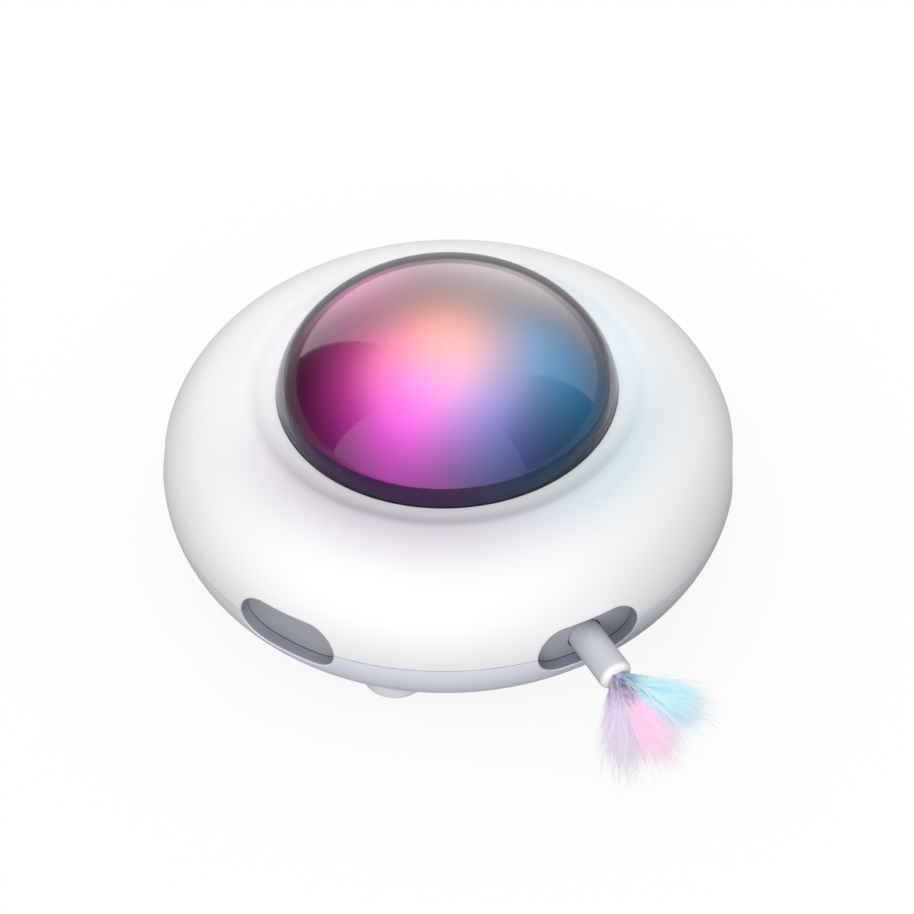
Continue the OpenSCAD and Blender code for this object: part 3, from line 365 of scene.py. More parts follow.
def frame_point(share):
    """A point of the slot's sector outline, as (turn, height)."""
    half = math.pi / SLOT_COUNT
    if share < EDGE_STEPS:
        return -half + 2 * half * share / EDGE_STEPS, BAND_LOW
    share -= EDGE_STEPS
    if share < SIDE_STEPS:
        return half, BAND_LOW + (BAND_HIGH - BAND_LOW) * share / SIDE_STEPS
    share -= SIDE_STEPS
    if share < EDGE_STEPS:
        return half - 2 * half * share / EDGE_STEPS, BAND_HIGH
    share -= EDGE_STEPS
    return -half, BAND_HIGH - (BAND_HIGH - BAND_LOW) * share / SIDE_STEPS


def on_shell(turn, z, inset=0.0):
    """A point on the shell's face at a turn and a height."""
    r = shell_r(z, inset)
    return Vector((r * math.cos(turn), r * math.sin(turn), z))


def slot_place(share, ring):
    """Where a vertex of a slot's sector lies on a ring of the outer face, lip, wall or inner face."""
    kind, value = ring
    if kind in ("outside", "inside"):
        inset = WALL if kind == "inside" else 0.0
        y, z = pill_point(share, LIP if kind == "outside" else 0.0)
        z += SEAM_Z
        turn = math.asin(y / shell_r(z, inset))
        edge_turn, edge_z = frame_point(share)
        return on_shell(edge_turn + (turn - edge_turn) * value, edge_z + (z - edge_z) * value, inset)
    grow, depth = 0.0, value
    if kind == "lip":
        grow, depth = LIP * (1 - math.sin(value)), LIP * (1 - math.cos(value))
    y, z = pill_point(share, grow)
    z += SEAM_Z
    outer = math.sqrt(shell_r(z) ** 2 - y * y)
    inner = math.sqrt(shell_r(z, WALL + BEAD) ** 2 - y * y)
    x = outer - depth if kind == "lip" else outer - LIP + (inner - outer + LIP) * depth
    return Vector((x, y, z))


def slotted_band(bm):
    """The six slots' sectors: a frame of edges, extruded ring by ring over each lip to the inner face."""
    rings = [("outside", 1 - (1 - i / OUTER_RINGS) ** RING_CROWD) for i in range(OUTER_RINGS + 1)]
    rings += [("lip", math.pi / 2 * i / LIP_RINGS) for i in range(1, LIP_RINGS + 1)]
    rings += [("wall", 0.5), ("wall", 1.0)]
    rings += [("inside", 1 - i / INNER_RINGS) for i in range(1, INNER_RINGS + 1)]
    count = 2 * (EDGE_STEPS + SIDE_STEPS)
    number = bm.verts.layers.int.new("share")
    loop = [bm.verts.new(slot_place(i, rings[0])) for i in range(count)]
    for i, vert in enumerate(loop):
        vert[number] = i
    edges = [bm.edges.new((loop[i - 1], loop[i])) for i in range(count)]
    for ring in rings[1:]:
        made = bmesh.ops.extrude_edge_only(bm, edges=edges)["geom"]
        edges = [e for e in made if isinstance(e, bmesh.types.BMEdge)]
        for vert in verts_of(made):
            vert.co = slot_place(vert[number], ring)
    sector = whole(bm)
    for i in range(1, SLOT_COUNT):
        copy = bmesh.ops.duplicate(bm, geom=sector)["geom"]
        turned = Matrix.Rotation(2 * math.pi * i / SLOT_COUNT, 3, "Z")
        bmesh.ops.rotate(bm, cent=(0, 0, 0), matrix=turned, verts=verts_of(copy))


def close_shell(bm, height, keep_above):
    """Joins a shell's parts, cuts it at the seam and closes the cut."""
    bmesh.ops.remove_doubles(bm, verts=bm.verts, dist=0.01)
    bmesh.ops.bisect_plane(bm, geom=whole(bm), dist=1e-5, plane_co=(0, 0, height), plane_no=(0, 0, 1),
                           clear_inner=keep_above, clear_outer=not keep_above)
    rims = [e for e in bm.edges if e.is_boundary]
    bmesh.ops.holes_fill(bm, edges=rims, sides=0)
    bmesh.ops.recalc_face_normals(bm, faces=bm.faces)


def sharpen(thing):
    """Smooth faces, with the steep edges kept sharp."""
    bm = bmesh.new()
    bm.from_mesh(thing.data)
    for face in bm.faces:
        face.smooth = True
    for edge in bm.edges:
        edge.smooth = edge.calc_face_angle(0.0) < math.radians(SHARP_ANGLE)
    bm.to_mesh(thing.data)
    bm.free()


def combine(thing, cutter, operation):
    """Cuts one object's solid out of another, or joins it, and deletes the second object."""
    cut = thing.modifiers.new("cut", "BOOLEAN")
    cut.operation = operation
    cut.solver = "EXACT"
    cut.object = cutter
    bpy.context.view_layer.update()
    finished = thing.evaluated_get(bpy.context.evaluated_depsgraph_get())
    result = bpy.data.meshes.new_from_object(finished)
    thing.modifiers.clear()
    thing.data = result
    bpy.data.objects.remove(cutter)


def lower_shell(bm):
    """The bowl: its slotted rim, then its side, floor, post with the ring's groove, and inner face."""
    slotted_band(bm)
    start = -math.degrees(math.asin((SEAM_Z - BAND_LOW) / LOWER_R))
    inner = -math.degrees(math.asin((SEAM_Z - BAND_LOW) / (LOWER_R - WALL)))
    underside = [(r, BOWL_LOW) for r in (*BOWL_RINGS, POST_BORE_R)]
    post = [(POST_BORE_R, POST_CEILING), (WIRE_HOLE_R, POST_CEILING),
            (WIRE_HOLE_R, POST_TOP), (POST_R, POST_TOP)]
    groove = [(POST_R, GROOVE_Z[1]), (GROOVE_R, GROOVE_Z[1]),
              (GROOVE_R, GROOVE_Z[0]), (POST_R, GROOVE_Z[0])]
    bearing = [(POST_R, BEARING_Z), (BEARING_R, BEARING_Z),
               (BEARING_R, BOWL_TOP), (BOWL_INNER_RING, BOWL_TOP)]
    spin_profile(bm, arc(LOWER_C, LOWER_R, start, -90, 16) + underside + post + groove + bearing
                 + arc(LOWER_C, LOWER_R - WALL, -90, inner, 12))
    close_shell(bm, SEAM_Z - SEAM_GAP, False)


FOOT_CIRCLE_R = 66.5
FOOT_TURN = -41.5
FOOT_COUNT = 4
FOOT_R = 10.2
FOOT_Z = 1.8
FOOT_EDGE = 0.9
PAD_SEAT_R = 7.85
PAD_SEAT_Z = 2.6
BOSS_RING_Z = 4.0
BOSS_TOP = 6.0
BOSS_INTO_WALL = 1.0


def foot_bosses(bm):
    """Round bosses that run up into the bowl's wall, with a recess for each pad."""
    profile = [(0.0, PAD_SEAT_Z), (PAD_SEAT_R, PAD_SEAT_Z), (PAD_SEAT_R, FOOT_Z)]
    profile += arc((FOOT_R - FOOT_EDGE, FOOT_Z + FOOT_EDGE), FOOT_EDGE, -90, 0, 5)
    profile += [(FOOT_R, BOSS_RING_Z), (FOOT_R, BOSS_TOP), (0.0, BOSS_TOP)]
    spin_profile(bm, profile, 72)
    bmesh.ops.translate(bm, vec=(FOOT_CIRCLE_R, 0, 0), verts=bm.verts)
    for vert in bm.verts:
        r = math.hypot(vert.co.x, vert.co.y)
        if vert.co.z > BOSS_TOP - BOSS_INTO_WALL:
            over = max(0.0, r - LOWER_C[0])
            vert.co.z = LOWER_C[1] - math.sqrt(LOWER_R ** 2 - over ** 2) + BOSS_INTO_WALL
    first = whole(bm)
    for i in range(FOOT_COUNT):
        geom = bmesh.ops.duplicate(bm, geom=first)["geom"] if i else first
        turn = 360.0 / FOOT_COUNT * i if i else FOOT_TURN
        turned = Matrix.Rotation(math.radians(turn), 3, "Z")
        bmesh.ops.rotate(bm, cent=(0, 0, 0), matrix=turned, verts=verts_of(geom))
    weld(bm, 0.005)


def pill_cutter(bm, length, width, deep):
    """A plate with round ends, along X, from its middle up."""
    half = (length - width) / 2
    verts = []
    for side in (1, -1):
        for x, y in arc((half, 0.0), width / 2, -90, 90, 12):
            verts.append(bm.verts.new((side * x, side * y, 0)))
    face = bm.faces.new(verts)
    made = bmesh.ops.extrude_face_region(bm, geom=[face])["geom"]
    bmesh.ops.translate(bm, vec=(0, 0, deep), verts=verts_of(made))
    bmesh.ops.recalc_face_normals(bm, faces=bm.faces)


def noise(paint, place, scale, detail=2.0):
    """A cloudy value from 0 to 1 at a scale in waves to the metre."""
    values = {"Vector": place, "Scale": scale, "Detail": detail}
    return paint.node("ShaderNodeTexNoise", sockets=values, out="Fac")


DRIFT_SCALE = 26.0
GRAIN_SCALE = 2600.0
GRAIN_DEPTH = 0.00002
RUB_SCALE = 180.0
RUB_GLOSS = 0.10


def moulded_plastic(name, colour, roughness, grain=0.12, drift=0.02,
                    tint=None, glow=None, metal=0.0, coat=0.0):
    """A moulded surface: fine eroded grain, slow drift of tone and slightly uneven gloss."""
    material, paint = new_material(name)
    place = paint.node("ShaderNodeTexCoord", out="Object")
    slow = noise(paint, place, DRIFT_SCALE)
    fine = noise(paint, place, GRAIN_SCALE)
    rubbed = noise(paint, place, RUB_SCALE, 4.0)
    darker = tuple(c * (1.0 - drift) for c in colour) + (1.0,)
    tone = slow.ramp(0.3, 0.7).blend(tuple(colour) + (1.0,), darker)
    if tint:
        tone = tint(paint, place, tone)
    bump = paint.node("ShaderNodeBump", sockets={
        "Strength": grain, "Distance": GRAIN_DEPTH, "Height": fine})
    surface = paint.node("ShaderNodeBsdfPrincipled", sockets={
        "Base Color": tone, "Roughness": roughness + (rubbed - 0.5) * RUB_GLOSS, "Normal": bump,
        "Metallic": metal, "Coat Weight": coat, "Coat Roughness": 0.08, "IOR": 1.5})
    if glow:
        paint.tree.links.new(glow(paint, place).socket, surface.socket.node.inputs["Emission Color"])
        surface.socket.node.inputs["Emission Strength"].default_value = 1.0
    paint.node("ShaderNodeOutputMaterial", sockets={"Surface": surface})
    return material


# Painted shade: the slots' walls are greyed as the shade in these recesses.
SLOT_WALL_SHADE = (0.34, 0.36, 0.43, 1.0)
WALL_SHADE_STARTS = 0.00015
WALL_SHADE_FULL = 0.0006


def slot_wall_shade(centre, radius):
    """Painted shade: a tint that greys the walls of the slots, which lie below the body's outer face."""
    def tint(paint, place, tone):
        x, y, z = paint.axes(place)
        across = paint.maths("SQRT", x * x + y * y) - centre[0] * MM
        up = z - centre[1] * MM
        depth = radius * MM - paint.maths("SQRT", across * across + up * up)
        return depth.ramp(WALL_SHADE_STARTS, WALL_SHADE_FULL).blend(tone, SLOT_WALL_SHADE)
    return tint


shell_low = link_mesh("lower_shell", lower_shell)
combine(shell_low, link_mesh("bosses", foot_bosses), "UNION")
SOCKET_TURN = math.radians(150.0)
SOCKET_PLACE = Vector((73.4, 0.0, 15.7)) * MM
SOCKET_HOLE = (10.2, 3.4, 30.0)
socket_hole = link_mesh("socket_hole", lambda bm: pill_cutter(bm, *SOCKET_HOLE))
socket_hole.data.transform(Matrix.Rotation(SOCKET_TURN, 4, "Z") @ Matrix.Translation(SOCKET_PLACE)
                           @ Matrix.Rotation(math.pi / 2, 4, "Y") @ Matrix.Rotation(math.pi / 2, 4, "Z"))
combine(shell_low, socket_hole, "DIFFERENCE")
SWITCH_PLACE = Vector((47.0, 0.0, 5.0)) * MM
SWITCH_HOLE = (7.8, 5.8, 8.0)
switch_hole = link_mesh("switch_hole", lambda bm: bmesh.ops.create_cube(bm, size=1.0))
switch_hole.data.transform(Matrix.Translation(SWITCH_PLACE) @ Matrix.Diagonal((*SWITCH_HOLE, 1.0)))
combine(shell_low, switch_hole, "DIFFERENCE")
sharpen(shell_low)
# The slots' walls in the bowl carry painted shade.
put_on(shell_low, moulded_plastic("pale_grey_shell", (0.83, 0.86, 0.94), 0.38,
                                  tint=slot_wall_shade(LOWER_C, LOWER_R)))
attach(shell_low, "base")
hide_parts("base_shell")


# Feet: soft pale rubber pads, moulded apart and pressed into the recesses of the
# four bosses under the bowl, where they stand out by nearly two millimetres.
def soft_rubber(name, colour):
    """Moulded rubber: dull, with a fine pebbled skin."""
    return moulded_plastic(name, colour, 0.78, grain=0.35, drift=0.05)


put_on(node_objects["rubber_feet"], soft_rubber("pale_rubber", (0.66, 0.67, 0.70)))


# Centre cap and screws: a moulded plastic cap closes the post's bore from below. Plated steel
# screws hold the two shells together, and others the boards, gearbox, gear, guide and strap.
def plated_steel(name, colour=(0.58, 0.59, 0.61), roughness=0.30):
    """Plated steel, with a fine drawn grain in its gloss."""
    return moulded_plastic(name, colour, roughness, grain=0.08, drift=0.10, metal=1.0)


screw_steel = plated_steel("screw_steel")
for name in ("shell_screws", "board_screws", "gearbox_screws",
             "gear_screws", "guide_screws", "strap_screws"):
    put_on(node_objects[name], screw_steel)
put_on(node_objects["centre_cap"], moulded_plastic("cap_plastic", (0.74, 0.75, 0.80), 0.42))

# Power switch: a slide switch in a dark plastic body on two posts of the bowl's floor, with a
# moulded, ribbed knob that sticks through its slot.
dark_plastic = moulded_plastic("dark_plastic", (0.045, 0.04, 0.05), 0.45, grain=0.2, drift=0.15)
put_on(node_objects["switch_body"], dark_plastic)
put_on(node_objects["switch_knob"], moulded_plastic("knob_plastic", (0.10, 0.10, 0.11), 0.5, grain=0.3))


# Battery and charging: a cell wrapped in blue film, in a moulded tray, and a small coated board
# with soldered chips and a plated steel socket, which looks out of the back of the bowl.
BLACK = (0.0, 0.0, 0.0, 1.0)


def solder_mask(name, colour):
    """A coated circuit board: glossy mask over faint copper runs."""
    def runs(paint, place, tone):
        copper = paint.node("ShaderNodeTexBrick", sockets={
            "Vector": place, "Scale": 180.0, "Mortar Size": 0.03,
            "Color1": BLACK, "Color2": BLACK, "Mortar": WHITE}, out="Fac")
        paler = tuple(min(1.0, c * 1.5 + 0.02) for c in colour) + (1.0,)
        return (copper * 0.35).blend(tone, paler)
    return moulded_plastic(name, colour, 0.34, drift=0.06, tint=runs)


put_on(node_objects["battery_tray"], moulded_plastic("tray_plastic", (0.55, 0.55, 0.57), 0.5))
put_on(node_objects["battery_pack"],
       moulded_plastic("battery_wrap", (0.03, 0.15, 0.50), 0.25, grain=0.4, drift=0.12))
put_on(node_objects["charge_board"], solder_mask("green_board", (0.02, 0.16, 0.06)))
put_on(node_objects["control_chips"],
       moulded_plastic("chip_plastic", (0.02, 0.02, 0.022), 0.55, grain=0.4))
put_on(node_objects["usb_port"], plated_steel("socket_steel", roughness=0.24))


# Drum drive: a small motor with a right-angle gearbox, whose upright shaft carries the
# pinion for the drum's gear. The gears are natural acetal.
acetal = moulded_plastic("acetal", (0.83, 0.78, 0.64), 0.40, drift=0.05)
box_plastic = moulded_plastic("gearbox_plastic", (0.66, 0.66, 0.62), 0.48, drift=0.05)
can_steel = plated_steel("motor_can_steel", roughness=0.36)
put_on(node_objects["drive_gearbox"], box_plastic)
put_on(node_objects["drive_motor"], can_steel)
put_on(node_objects["drive_pinion"], acetal)
put_on(node_objects["drive_shaft"], screw_steel)

# Bearing: an acetal washer on the post's shoulder, a sintered bronze bush in the
# drum's hub, and a spring steel ring in the post's groove that keeps the hub down.
put_on(node_objects["thrust_washer"], acetal)
put_on(node_objects["hub_bush"],
       moulded_plastic("sintered_bronze", (0.55, 0.34, 0.13), 0.5, grain=0.5, drift=0.2, metal=1.0))
put_on(node_objects["hub_clip"], plated_steel("spring_steel", (0.30, 0.31, 0.33)))

# Curtain drum: one grey moulding of floor, hub and the wall that shows in the slots,
# with an acetal gear screwed under its floor.
put_on(node_objects["curtain_drum"],
       moulded_plastic("drum_grey", (0.40, 0.41, 0.455), 0.55, grain=0.25, drift=0.05))
put_on(node_objects["drum_gear"], acetal)

# Rod drive: a plastic guide and motor cradle screwed to the drum's floor, a steel strap over the
# motor, an acetal pinion on its shaft and a small switch that finds the rod's inner end.
for name in ("rod_guide", "motor_cradle"):
    put_on(node_objects[name], box_plastic)
put_on(node_objects["rod_gearbox"], moulded_plastic("rod_gearbox_plastic", (0.70, 0.70, 0.68), 0.48))
put_on(node_objects["rod_motor"], can_steel)
put_on(node_objects["motor_strap"], plated_steel("strap_steel", roughness=0.32))
put_on(node_objects["home_switch"], dark_plastic)
put_on(node_objects["rod_pinion"], acetal)
put_on(node_objects["rod_pinion_shaft"], screw_steel)

# Rod: a straight bar of pale grey acetal with a rack on its inner end. Its tip is
# pushed on, whitened on the rounded end as a painted highlight, and a plug in the tip holds the quills.
ROD_GREY = (0.58, 0.59, 0.66)
TIP_HIGHLIGHT = (0.94, 0.94, 0.96, 1.0)
HIGHLIGHT_FROM = 0.1010
HIGHLIGHT_FULL = 0.1024


def painted_tip_highlight(paint, place, tone):
    """Painted highlight: turns the tip white over its rounded end."""
    along_rod, _, _ = paint.axes(place)
    return along_rod.ramp(HIGHLIGHT_FROM, HIGHLIGHT_FULL).blend(tone, TIP_HIGHLIGHT)


put_on(node_objects["feather_rod"], moulded_plastic("rod_grey", ROD_GREY, 0.40, drift=0.03))
put_on(node_objects["rod_tip"], moulded_plastic("tip_grey_painted_highlight", ROD_GREY, 0.36, drift=0.03, tint=painted_tip_highlight))
put_on(node_objects["feather_plug"], moulded_plastic("plug_finish", (0.52, 0.50, 0.74), 0.6))

# Feathers: three plumes of dyed down whose quills are glued into the plug. Each is
# made of fine tapered strands that leave the root in loose locks and wave to their ends.
# Each plume is parted into three tufts by how far their locks lean.
ROD_END = 103.1
PLUG_FACE = 104.3
PLUG_R = 2.3
STRAND_R = 0.07
LOCK_STRANDS = 11
STRAND_JOINTS = 6
STRAND_TIP = 0.3
LEAN_SPREAD = 0.55
TILT_SPREAD = 0.5
LATEST_START = 0.42
START_CROWD = 1.6
CURL = 0.09
TWIST = 0.035
STRAY = 0.065
SAG = 3.5
FLOOR_CLEAR = 1.3
TUFT_COUNT = 3
TUFT_LEAN = 0.25


def strand_shape():
    """One straight strand of unit length: a three-sided cone with joints along it."""
    bm = bmesh.new()
    bmesh.ops.create_cone(bm, cap_ends=True, segments=3, radius1=1.0, radius2=STRAND_TIP, depth=1.0,
                          matrix=Matrix.Translation((0, 0, 0.5)))
    long_edges = [e for e in bm.edges if abs(e.verts[0].co.z - e.verts[1].co.z) > 0.5]
    bmesh.ops.subdivide_edges(bm, edges=long_edges, cuts=STRAND_JOINTS)
    mesh = bpy.data.meshes.new("strand")
    bm.to_mesh(mesh)
    bm.free()
    return mesh


strand_mesh = strand_shape()


def within(value, limit):
    """A value kept between a limit and its opposite."""
    return max(-limit, min(limit, value))


def plume(bm, turn, aim, side, length, fan, thick, locks, seed):
    """One plume: locks of strands from the plug's edge, spread along side by the angle fan."""
    draw = random.Random(seed)
    way = Vector(aim).normalized()
    across = (Vector(side) - way * way.dot(Vector(side))).normalized()
    out = way.cross(across)
    along = bm.verts.layers.float.new("along")
    lock_tone = bm.verts.layers.float.new("lock")
    strand_shade = bm.verts.layers.float.new("shade")
    tuft_number = bm.verts.layers.int.new("tuft")
    for _ in range(locks):
        lean = within(draw.gauss(0.0, LEAN_SPREAD), 1.0)
        tilt = within(draw.gauss(0.0, TILT_SPREAD), 1.0)
        lock_way = (way + across * math.tan(lean * fan) + out * math.tan(tilt * thick)).normalized()
        start = draw.uniform(0.0, 1.0) ** START_CROWD * LATEST_START
        reach = length * draw.uniform(0.62, 1.0) * (1.0 - 0.18 * abs(lean)) * (1.0 - start)
        a = math.radians(turn) + draw.gauss(0.0, 0.9)
        seat = draw.uniform(0.6, 3.0)
        root_x = PLUG_FACE if seat < PLUG_R else ROD_END
        foot = Vector((root_x, seat * math.sin(a), SEAM_Z + seat * math.cos(a)))
        foot += (way + (lock_way - way) * 0.6) * (start * length)
        curl = (across * draw.gauss(0.0, 1.0) + out * draw.gauss(0.0, 0.7)) * CURL * length
        phase = draw.uniform(0.0, 2 * math.pi)
        tone = draw.random()
        for _ in range(LOCK_STRANDS):
            stray = Vector((draw.gauss(0, 1), draw.gauss(0, 1), draw.gauss(0, 1))) * STRAY
            strand_way = (lock_way + stray).normalized()
            strand_reach = reach * draw.uniform(0.5, 1.08)
            twist = Vector((draw.gauss(0, 1), draw.gauss(0, 1), draw.gauss(0, 1))) * TWIST * length
            begin = foot + Vector((0, draw.gauss(0, 0.25), draw.gauss(0, 0.25)))
            girth = STRAND_R * draw.uniform(0.6, 1.25)
            wave = draw.uniform(0.3, 0.9)
            turns = draw.uniform(0.7, 1.5)
            strand_tone = tone + draw.uniform(-0.12, 0.12)
            depth = draw.random()
            before = len(bm.verts)
            bm.from_mesh(strand_mesh)
            bm.verts.ensure_lookup_table()
            for vert in bm.verts[before:]:
                x, y, s = vert.co
                gone = s * strand_reach / length
                swing = wave * s * math.sin(phase + 2 * math.pi * turns * s)
                bend = (curl + twist) * (s * gone) + across * swing
                centre = begin + strand_way * (strand_reach * s) + bend
                centre.z = max(FLOOR_CLEAR, centre.z - SAG * gone * gone)
                vert.co = centre + (across * x + out * y) * girth
                vert[along] = gone + start
                vert[lock_tone] = strand_tone
                vert[strand_shade] = depth
                vert[tuft_number] = (lean > -TUFT_LEAN) + (lean > TUFT_LEAN)
    for face in bm.faces:
        face.smooth = True


STREAK = (0.10, 0.09, 0.36, 1.0)
WHITE_LOCK = (0.96, 0.96, 0.98, 1.0)
DOWN_PAINTED_GLOW = 0.27


def dyed_down(name, root_end, root_colour, main_colour, tip_colour):
    """Dyed down: deeper at the root, pale at the wisps, with a few dark and a few white locks, and a
    painted glow away from the root that stands for light scattered through the down.
    """
    material, paint = new_material(name)
    along, tone, shade = [paint.node("ShaderNodeAttribute", {"attribute_name": layer}, out="Fac")
                          for layer in ("along", "lock", "shade")]
    body = along.ramp(0.0, root_end).blend(root_colour + (1.0,), main_colour + (1.0,))
    body = along.ramp(0.45, 0.95).blend(body, tip_colour + (1.0,))
    body = (shade.ramp(0.45, 0.95) * 0.75).blend(body, root_colour + (1.0,))
    body = tone.ramp(0.26, 0.04, 0.0, 0.75).blend(body, WHITE_LOCK)
    body = (tone.ramp(0.89, 0.97) * along.ramp(0.14, 0.32, 0.8, 0.0)).blend(body, STREAK)
    # Painted light: the strands glow away from the root, as light scattered through the down would.
    painted_glow = along.ramp(0.0, 0.35).blend(BLACK, body)
    surface = paint.node("ShaderNodeBsdfPrincipled", sockets={
        "Base Color": body, "Roughness": 0.60 + tone * 0.15, "Sheen Weight": 0.2, "Sheen Roughness": 0.35,
        "Emission Color": painted_glow, "Emission Strength": DOWN_PAINTED_GLOW})
    paint.node("ShaderNodeOutputMaterial", sockets={"Surface": surface})
    return material


def one_tuft(bm, whole_plume, number):
    """One of the three tufts of a whole plume, parted by how far their locks lean."""
    bm.from_mesh(whole_plume)
    tuft_number = bm.verts.layers.int["tuft"]
    bmesh.ops.delete(bm, geom=[v for v in bm.verts if v[tuft_number] != number], context="VERTS")


# Each plume's turn round the plug, aim, side, length, fan, thickness, locks and seed,
# then the share of it that has the root's colour and the colours of root, middle and tip.
PLUMES = {
    "feather_blue": ((60, (19.1, 18.2, -7.9), (-0.40, 0.62, 0.68), 30.0, 0.36, 0.28, 130, 11),
                     (0.26, (0.35, 0.62, 0.84), (0.63, 0.87, 0.90), (0.86, 0.95, 0.96))),
    "feather_pink": ((165, (27.2, 4.7, -10.7), (0.09, 0.90, 0.32), 29.5, 0.20, 0.28, 130, 23),
                     (0.36, (0.78, 0.70, 0.89), (0.97, 0.66, 0.81), (0.95, 0.78, 0.87))),
    "feather_lilac": ((285, (17.3, -5.6, -17.4), (0.50, 0.85, -0.08), 28.0, 0.36, 0.26, 150, 37),
                      (0.28, (0.62, 0.56, 0.80), (0.80, 0.71, 0.81), (0.84, 0.79, 0.86))),
}
for name, (shape, colours) in PLUMES.items():
    whole_plume = bpy.data.meshes.new(name + "_whole")
    bm = bmesh.new()
    plume(bm, *shape)
    bm.to_mesh(whole_plume)
    bm.free()
    dye = dyed_down(name + "_dye", *colours)
    for number in range(TUFT_COUNT):
        tuft = link_mesh(f"{name}_tuft_{number + 1}", lambda bm: one_tuft(bm, whole_plume, number))
        put_on(tuft, dye)
        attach(tuft, "rod")
        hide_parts(name)
        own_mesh(tuft)
    bpy.data.meshes.remove(whole_plume)
bpy.data.meshes.remove(strand_mesh)


# Upper shell: one white moulding with a round shoulder and crown, a low crest and
# a shallow dish that the dome stands in. It meets the bowl at the seam.
def along_from(centre, turn, distance):
    """The centre of the arc that runs on smoothly from another arc at that turn, in degrees."""
    a = math.radians(turn)
    return centre[0] + distance * math.cos(a), centre[1] + distance * math.sin(a)


SHOULDER_END = 50
CROWN_END = 78
CREST_END = 106
CROWN_R = 39.0
CREST_R = 8.0
DISH_R = 22.0
CROWN_C = along_from(SHOULDER_C, SHOULDER_END, SHOULDER_R - CROWN_R)
CREST_C = along_from(CROWN_C, CROWN_END, CROWN_R - CREST_R)
DISH_C = along_from(CREST_C, CREST_END, CREST_R + DISH_R)
DISH_Z = DISH_C[1] - DISH_R
WELL_R = 51.4
WELL_EDGE = 0.25
DECK_TOP = 56.0
DECK_LOW = 53.5
DECK_RING = 30.0
DECK_EDGE_R = 54.0


def upper_shell(bm):
    """The lid: its slotted rim, then shoulder, crown, crest, dish, well and deck, and the inner face."""
    slotted_band(bm)
    start = math.degrees(math.asin((BAND_HIGH - SHOULDER_C[1]) / SHOULDER_R))
    inner = math.degrees(math.asin((BAND_HIGH - SHOULDER_C[1]) / (SHOULDER_R - WALL)))
    outside = arc(SHOULDER_C, SHOULDER_R, start, SHOULDER_END, 8)
    outside += arc(CROWN_C, CROWN_R, SHOULDER_END, CROWN_END, 14)[1:]
    outside += arc(CREST_C, CREST_R, CROWN_END, CREST_END, 12)[1:]
    outside += arc(DISH_C, DISH_R, CREST_END + 180, 270, 8)[1:]
    outside += arc((WELL_R + WELL_EDGE, DISH_Z - WELL_EDGE), WELL_EDGE, 90, 180, 3)
    deck = [(WELL_R, DECK_TOP), (DECK_RING, DECK_TOP), (WIRE_HOLE_R, DECK_TOP), (WIRE_HOLE_R, POST_TOP),
            (POST_R, POST_TOP), (POST_R, DECK_LOW), (DECK_EDGE_R, DECK_LOW)]
    inside = arc(CROWN_C, CROWN_R - WALL, CROWN_END, SHOULDER_END, 8)
    inside += arc(SHOULDER_C, SHOULDER_R - WALL, SHOULDER_END, inner, 6)[1:]
    spin_profile(bm, outside + deck + inside)
    close_shell(bm, SEAM_Z, True)


# Painted light and shade round the dome: the dish and crest are darkened as in the dome's shade and
# tinted with its coloured light, violet-pink on one side and blue on the other.
BLUE_SIDE = math.radians(63.73)
SPILL_SHADE_LEFT = (0.74, 0.68, 0.75, 1.0)
SPILL_SHADE_RIGHT = (0.74, 0.85, 0.90, 1.0)
SPILL_START = 0.052
SPILL_LEAST = 0.15
SPILL_FULL = 0.060
SPILL_END = 0.080
SPILL_GAIN = 1.55
# Painted shade: the deck and well under the dome's foot are painted near black, as the shade in that
# recess.
DECK_PAINTED_SHADE = (0.05, 0.045, 0.06, 1.0)
DECK_SHADE_ENDS = (0.0511, 0.0513)
# Painted light: a glow in the dish round the dome's foot, violet on one side and blue on the other.
DISH_GLOW_LEFT = (0.20, 0.19, 0.21, 1.0)
DISH_GLOW_RIGHT = (0.13, 0.21, 0.25, 1.0)
DISH_GLOW_STARTS = (0.0512, 0.0514)
DISH_GLOW_END = 0.066
OUTER_FACE_Z = (0.050, 0.054)


def round_dome(paint, place):
    """A point's distance from the dome's axis, its shares of the blue side and front, and its height."""
    x, y, z = paint.axes(place)
    r = paint.maths("SQRT", x * x + y * y) + 1e-5
    blueward = (x * math.cos(BLUE_SIDE) + y * math.sin(BLUE_SIDE)) / r
    forwards = (x * math.sin(BLUE_SIDE) - y * math.cos(BLUE_SIDE)) / r
    return r, blueward, forwards, z


def painted_light_and_shade(paint, place, tone):
    """Painted shade on the slots' walls and under the dome's foot, and the dome's painted shade and
    coloured light on the dish and crest round it.
    """
    tone = slot_wall_shade(SHOULDER_C, SHOULDER_R)(paint, place, tone)
    r, blueward, forwards, _ = round_dome(paint, place)
    spill = blueward.ramp(-0.1, 0.9).blend(SPILL_SHADE_LEFT, SPILL_SHADE_RIGHT)
    beside = blueward.ramp(0.3, 1.0) * forwards.ramp(-0.5, 0.2, 0.1, 0.45)
    shade = forwards.ramp(0.0, 1.0) * 0.9 + beside + 0.1
    rising = r.ramp(SPILL_START, SPILL_FULL, SPILL_LEAST, 1.0)
    near = r.ramp(WELL_R * MM, SPILL_END, 1.0, 0.0) * rising * shade
    tinted = paint.node("ShaderNodeMix", {"data_type": "RGBA", "blend_type": "MULTIPLY"},
                        {"Factor": 1.0, COLOUR_A: tone, COLOUR_B: spill}, COLOUR_OUT)
    lit = (near * SPILL_GAIN).blend(tone, tinted)
    return r.ramp(*DECK_SHADE_ENDS).blend(DECK_PAINTED_SHADE, lit)


